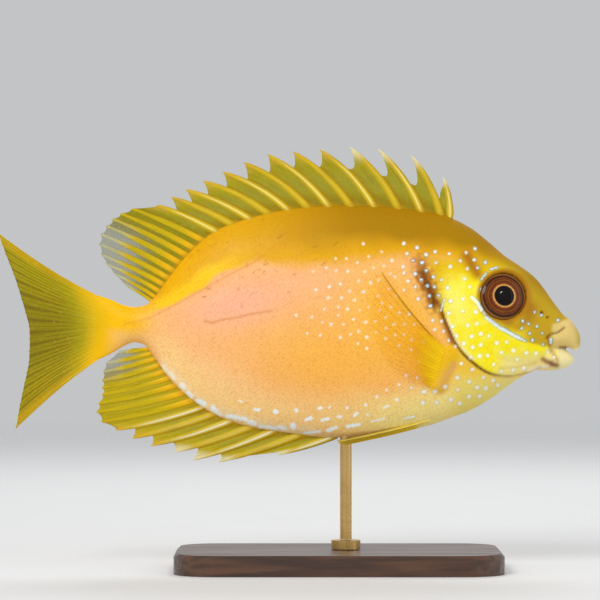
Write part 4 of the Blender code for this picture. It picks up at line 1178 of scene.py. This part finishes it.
# Colours of the eye, from its middle out: radius and colour
EYE_RINGS = (
    (0.0, (4, 4, 6)), (3.3, (6, 5, 6)), (3.45, (70, 36, 10)), (3.7, (236, 178, 100)), (4.05, (196, 124, 56)),
    (4.3, (112, 50, 8)), (4.8, (120, 56, 8)), (5.05, (66, 26, 4)), (5.4, (142, 78, 26)), (5.9, (96, 44, 8)),
    (6.4, (120, 62, 18)), (6.8, (52, 20, 4)), (7.1, (44, 16, 4)), (7.35, (120, 74, 24)),
    (7.7, (160, 106, 44)), (8.05, (88, 46, 10)),
)
EYE_AROUND, EYE_STEPS = 96, 64
EYE_EDGE_HEIGHT = -1.2


def eye_frame(side):
    """A point on the skin at the eye, and the axes of the eye: two across it and one out of the head."""
    x, z = EYE_AT
    step, half = EYE_SLOPE_SPAN, TRUNK.half_at
    slope_x = (half(x + step, z) - half(x - step, z)) / (2 * step)
    slope_z = (half(x, z + step) - half(x, z - step)) / (2 * step)
    out = unit(np.array([-slope_x, side, -slope_z]))
    ahead = unit(np.cross((0, 0, 1), out))
    return np.array([x, side * float(half(x, z)), z]), ahead, np.cross(out, ahead), out


def build_eye(side, word):
    """An eye: a turned dome with a black pupil, a thin gold ring and a banded brown iris."""
    centre, ahead, up, out = eye_frame(side)
    steps = np.cumsum([0, *(math.dist(a, b) for a, b in zip(EYE_PROFILE, EYE_PROFILE[1:]))])
    along = np.linspace(0, steps[-1], EYE_STEPS)
    profile = [(step, *point) for step, point in zip(steps, EYE_PROFILE)]
    radii, heights = (curve(along) for curve in columns(profile))
    turns = np.arange(EYE_AROUND) * 2 * math.pi / EYE_AROUND
    round_x, round_z = np.cos(turns)[:, None], np.sin(turns)[:, None]
    points, radius = [centre + out * heights[0]], [0.0]
    uneven = 0.1 * np.sin(3 * turns + 1) + 0.07 * np.sin(8 * turns) + 0.04 * np.sin(19 * turns)
    for r, h in zip(radii[1:], heights[1:]):
        points += list(centre + out * h + r * (round_x * ahead + round_z * up))
        radius += list((r if h > EYE_EDGE_HEIGHT else r + 1) + uneven * hump(r - 6, 1.2))
    faces = [(0, 1 + k, 1 + (k + 1) % EYE_AROUND) for k in range(EYE_AROUND)]
    for i in range(EYE_STEPS - 2):
        for k in range(EYE_AROUND):
            a, b = 1 + i * EYE_AROUND + k, 1 + i * EYE_AROUND + (k + 1) % EYE_AROUND
            faces.append((a, a + EYE_AROUND, b + EYE_AROUND, b))
    last = 1 + (EYE_STEPS - 2) * EYE_AROUND
    faces.append(tuple(range(last, last + EYE_AROUND)))
    if side < 0:
        faces = [tuple(reversed(face)) for face in faces]
    made = mesh_object(f"eyeball_{word}", points, faces)
    at, colours = zip(*EYE_RINGS)
    give(made, paint=np.stack([np.interp(radius, at, tone) for tone in linear(colours).T], axis=1))
    dress(made, eye_material(), "eye", f"eye_{word}")


# Materials


class Nodes:
    """A material's node tree, with short calls to add and join nodes."""

    def __init__(self, name):
        self.material = bpy.data.materials.new(name)
        self.material.use_nodes = True
        self.tree = self.material.node_tree
        self.shader = self.tree.nodes["Principled BSDF"]

    def put(self, target, value):
        """Gives an input a socket or a plain value."""
        if isinstance(value, bpy.types.NodeSocket):
            self.tree.links.new(value, target)
        else:
            target.default_value = value

    def add(self, kind, output, inputs=(), **settings):
        """An output of a new node."""
        node = self.tree.nodes.new("ShaderNode" + kind)
        for key, value in settings.items():
            setattr(node, key, value)
        for key, value in dict(inputs).items():
            self.put(node.inputs[key], value)
        return node.outputs[output]

    def attribute(self, name, output="Fac"):
        return self.add("Attribute", output, attribute_name=name)

    def place(self, stretch=None):
        """The place on the object, stretched."""
        place = self.add("TexCoord", "Object")
        return place if stretch is None else self.stretched(place, stretch)

    def stretched(self, place, stretch):
        return self.add("Mapping", "Vector", {"Vector": place, "Scale": stretch})

    def noise_on(self, place, scale, detail):
        return self.add("TexNoise", "Fac", {"Vector": place, "Scale": scale, "Detail": detail})

    def noise(self, scale, detail=3.0, stretch=(1, 1, 1)):
        return self.noise_on(self.place(stretch), scale, detail)

    def streaks(self):
        """Noise drawn out along a fin's rays."""
        inputs = {"X": self.attribute("number"), "Y": self.attribute("along")}
        place = self.add("CombineXYZ", "Vector", inputs)
        return self.noise_on(self.stretched(place, (2.2, 0.5, 1)), 6, 4)

    def rows(self, scale, stretch):
        """Slanting rows, as of small scales."""
        inputs = {"Vector": self.place(stretch), "Scale": scale}
        inputs |= {"Distortion": 5.0, "Detail": 3.0, "Detail Scale": 1.5}
        return self.add("TexWave", "Fac", inputs, bands_direction="DIAGONAL")

    def ramp(self, value, low, high, to_low, to_high, kind="SMOOTHSTEP"):
        inputs = {"Value": value, "From Min": low, "From Max": high, "To Min": to_low, "To Max": to_high}
        return self.add("MapRange", "Result", inputs, interpolation_type=kind)

    def combine(self, first, second, operation="MULTIPLY"):
        return self.add("Math", "Value", {0: first, 1: second}, operation=operation)

    def layers(self, colour, *layers):
        """Mixes colours over another by their weights, each a socket or a plain colour of the photo."""
        for weight, layer in layers:
            under, over = (
                (*linear(tone), 1) if isinstance(tone, tuple) else tone for tone in (colour, layer)
            )
            colour = self.add("Mix", 2, {0: weight, 6: under, 7: over}, data_type="RGBA")
        return colour

    def bump(self, height, strength, distance):
        inputs = {"Height": height, "Strength": strength, "Distance": distance}
        self.put(self.shader.inputs["Normal"], self.add("Bump", "Normal", inputs))

    def finish(self, colour, **values):
        """The material, with its colour and other values, each a socket or a plain number."""
        self.put(self.shader.inputs["Base Color"], colour)
        for key, value in values.items():
            self.put(self.shader.inputs[key.replace("_", " ")], value)
        return self.material


def skin_material():
    """Skin with minute scales: the painted colour, a fine grain over it, and the pale marks on top."""
    nodes = Nodes("rabbitfish_skin")
    flecked = nodes.attribute("flecked")
    patchy = nodes.combine(nodes.ramp(nodes.noise(140), 0.4, 0.68, 0.15, 1.0), flecked)
    scale_rows = nodes.ramp(nodes.rows(420, (1, 0.4, -1)), 0.4, 1.0, 0.0, 0.17)
    grain = nodes.combine(nodes.ramp(nodes.noise(1400, 5), 0.42, 0.75, 0.0, 0.3), flecked)
    flecks = nodes.combine(nodes.ramp(nodes.noise(3000, 2), 0.58, 0.74, 0.0, 0.35), flecked)
    wander = nodes.ramp(nodes.noise(1600, 2), 0.2, 0.8, -0.22, 0.22, "LINEAR")
    pale = nodes.combine(nodes.attribute("pale"), wander, "ADD")
    ring = nodes.combine(nodes.ramp(pale, 0.12, 0.5, 0.55, 0.0), nodes.attribute("ringed"))
    colour = nodes.layers(
        nodes.attribute("paint", "Color"),
        (nodes.combine(scale_rows, patchy), (214, 124, 40)),
        (grain, (206, 116, 24)),
        (flecks, (176, 88, 24)),
        (ring, (96, 120, 120)),
        (nodes.ramp(pale, -0.4, 0.26, 0.95, 0.0), nodes.attribute("mark", "Color")),
    )
    cells = nodes.add("TexVoronoi", "Distance", {"Vector": nodes.place(), "Scale": 2000})
    nodes.bump(cells, 0.35, 0.00006)
    roughness = nodes.ramp(nodes.noise(300), 0.3, 0.7, 0.38, 0.52)
    return nodes.finish(
        colour, Roughness=roughness, Specular_IOR_Level=0.09, Subsurface_Weight=0.05,
        Subsurface_Scale=0.0015, Coat_Weight=0.03, Coat_Roughness=0.2,
    )


def fin_material(name):
    """A fin: painted rays and membrane, streaked along the rays, the membrane clearer than the rays."""
    nodes = Nodes(name)
    outer = nodes.ramp(nodes.attribute("along"), 0.25, 0.6, 0.0, 1.0)
    colour = nodes.layers(
        nodes.attribute("paint", "Color"),
        (nodes.combine(nodes.ramp(nodes.streaks(), 0.45, 0.72, 0.0, 0.4), outer), (112, 92, 2)),
        (nodes.ramp(nodes.noise(900), 0.5, 0.75, 0.0, 0.12), (236, 206, 60)),
    )
    solid = nodes.ramp(nodes.attribute("clear"), 0.0, 1.0, 1.0, 0.0, "LINEAR")
    nodes.bump(nodes.noise(1500), 0.3, 0.00008)
    roughness = nodes.ramp(nodes.noise(400), 0.3, 0.7, 0.38, 0.52)
    return nodes.finish(
        colour, Alpha=solid, Roughness=roughness, Specular_IOR_Level=0.15, Subsurface_Weight=0.08,
        Subsurface_Scale=0.001,
    )


def eye_material():
    """A wet eye: a banded iris under a clear coat."""
    nodes = Nodes("rabbitfish_eye")
    mottled = nodes.ramp(nodes.noise(1400, 4), 0.4, 0.75, 0.0, 0.4)
    colour = nodes.layers(nodes.attribute("paint", "Color"), (mottled, (30, 12, 4)))
    roughness = nodes.ramp(nodes.noise(500), 0.3, 0.7, 0.25, 0.4)
    return nodes.finish(
        colour, Roughness=roughness, Specular_IOR_Level=0.05, Coat_Weight=0.28, Coat_Roughness=0.03
    )


def wood_material():
    """Dark oiled wood with grain along the base."""
    nodes = Nodes("stand_wood")
    grain = nodes.noise(60, 6, (0.5, 6, 6))
    pores = nodes.ramp(nodes.noise(500, 3, (0.1, 3, 3)), 0.6, 0.75, 0.0, 0.6)
    nodes.bump(grain, 0.2, 0.0001)
    bands = nodes.ramp(grain, 0.35, 0.65, 0.0, 1.0)
    colour = nodes.layers((92, 58, 36), (bands, (54, 32, 20)), (pores, (28, 16, 10)))
    roughness = nodes.ramp(grain, 0.3, 0.7, 0.3, 0.45)
    return nodes.finish(colour, Roughness=roughness, Coat_Weight=0.2, Coat_Roughness=0.2)


def brass_material():
    """Satin brass, finely brushed."""
    nodes = Nodes("stand_brass")
    roughness = nodes.ramp(nodes.noise(300, 4, (1, 1, 12)), 0.3, 0.7, 0.22, 0.4)
    tarnish = nodes.ramp(nodes.noise(90), 0.4, 0.75, 0.0, 0.4)
    colour = nodes.layers((206, 170, 104), (tarnish, (150, 116, 62)))
    return nodes.finish(colour, Roughness=roughness, Metallic=1.0)


def dress_stand():
    """The stand keeps its solids and gets better finishes."""
    wood, brass = wood_material(), brass_material()
    for node, finish in (("stand_base", wood), ("stand_collar", brass), ("stand_rod", brass)):
        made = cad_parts[node]
        made.data.materials.clear()
        made.data.materials.append(finish)


# The studio

FLOOR_RADIUS, FLOOR_FADE, FLOOR_AROUND = 1.6, 0.5, 64
BACKDROP, WORLD_STRENGTH = (0.78, 0.79, 0.80), 0.7
LIGHT_AIM = Vector((0.01, 0, 0.09))
# Name, place, size and power of the lights
LIGHTS = (
    ("key", (-0.45, -0.85, 0.8), 0.5, 7.0), ("fill", (1.2, -0.45, 0.45), 1.2, 2.5),
    ("back", (0.1, 0.7, 0.8), 0.5, 3.0),
)
CATCH_TILT = 0.03  # how far above the pupil's middle the catch light shows
CATCH_DISTANCE = 0.9  # metres from the eye to the light
CATCH_SIZE, CATCH_POWER = 0.04, 0.25


def build_floor():
    """A round pale floor that fades into the backdrop."""
    turns = [2 * math.pi * k / FLOOR_AROUND for k in range(FLOOR_AROUND)]
    mesh = bpy.data.meshes.new("floor")
    rim = [(FLOOR_RADIUS * math.cos(t), FLOOR_RADIUS * math.sin(t), 0) for t in turns]
    faces = [(0, 1 + k, 1 + (k + 1) % FLOOR_AROUND) for k in range(FLOOR_AROUND)]
    mesh.from_pydata([(0, 0, 0), *rim], [], faces)
    floor = new_object("floor", mesh)
    nodes = Nodes("floor")
    length = nodes.add("VectorMath", "Value", {0: nodes.place()}, operation="LENGTH")
    fade = nodes.ramp(length, FLOOR_FADE, FLOOR_RADIUS, 1.0, 0.0)
    colour = nodes.layers((226, 226, 226), (nodes.noise(30), (230, 230, 230)))
    mesh.materials.append(nodes.finish(colour, Alpha=fade, Roughness=0.75))


def area_light(name, place, size, power, aim=LIGHT_AIM):
    light = bpy.data.lights.new(name, "AREA")
    light.shape, light.size, light.energy = "DISK", size, power
    made = new_object(name, light)
    made.location = place
    made.rotation_euler = (Vector(place) - aim).to_track_quat("Z", "Y").to_euler()


def build_catch_light():
    """A small light that the right eye mirrors as one point just above the middle of its pupil."""
    centre, _, up, out = eye_frame(-1)
    normal = unit(out + CATCH_TILT * up)
    towards_camera = np.array([0.0, -1.0, 0.0])
    mirrored = 2 * normal.dot(towards_camera) * normal - towards_camera
    eye = (centre + DATUM) * MM
    place = Vector(eye + mirrored * CATCH_DISTANCE)
    area_light("catch", place, CATCH_SIZE, CATCH_POWER, Vector(eye))


def build_studio():
    """Soft lights, a pale backdrop and a camera at the photo's angle and framing."""
    scene = bpy.context.scene
    world = bpy.data.worlds.new("studio")
    world.use_nodes = True
    background = world.node_tree.nodes["Background"]
    background.inputs["Color"].default_value = (*BACKDROP, 1)
    background.inputs["Strength"].default_value = WORLD_STRENGTH
    scene.world = world
    scene.view_settings.view_transform = "Standard"
    for light in LIGHTS:
        area_light(*light)
    build_catch_light()
    camera = bpy.data.cameras.new("camera")
    camera.sensor_width = SENSOR
    camera.lens = SENSOR * CAMERA_DISTANCE / VIEW_WIDTH
    camera.clip_start = 0.05
    made = new_object("camera", camera)
    x, z = photo_place(*VIEW_CENTRE)
    made.location = (np.array([x, -CAMERA_DISTANCE, z]) + DATUM) * MM
    made.rotation_euler = (math.pi / 2, 0, 0)
    scene.camera = made


def main():
    build_skin()
    dorsal_nodes, anal_nodes = ("dorsal_fin_spiny", "dorsal_fin_soft"), ("anal_fin_spiny", "anal_fin_soft")
    build_median_fin("fin_dorsal", DORSAL, DORSAL_WEB, DORSAL_SPINES, 1, 16, DORSAL_LOOK, dorsal_nodes)
    build_median_fin("fin_anal", ANAL, ANAL_WEB, ANAL_SPINES, -1, 13, ANAL_LOOK, anal_nodes)
    build_caudal_fin()
    for side, word in ((-1, "right"), (1, "left")):
        build_pectoral_fin(side, word)
        build_pelvic_fin(side, word)
        build_eye(side, word)
    dress_stand()
    build_floor()
    build_studio()


main()
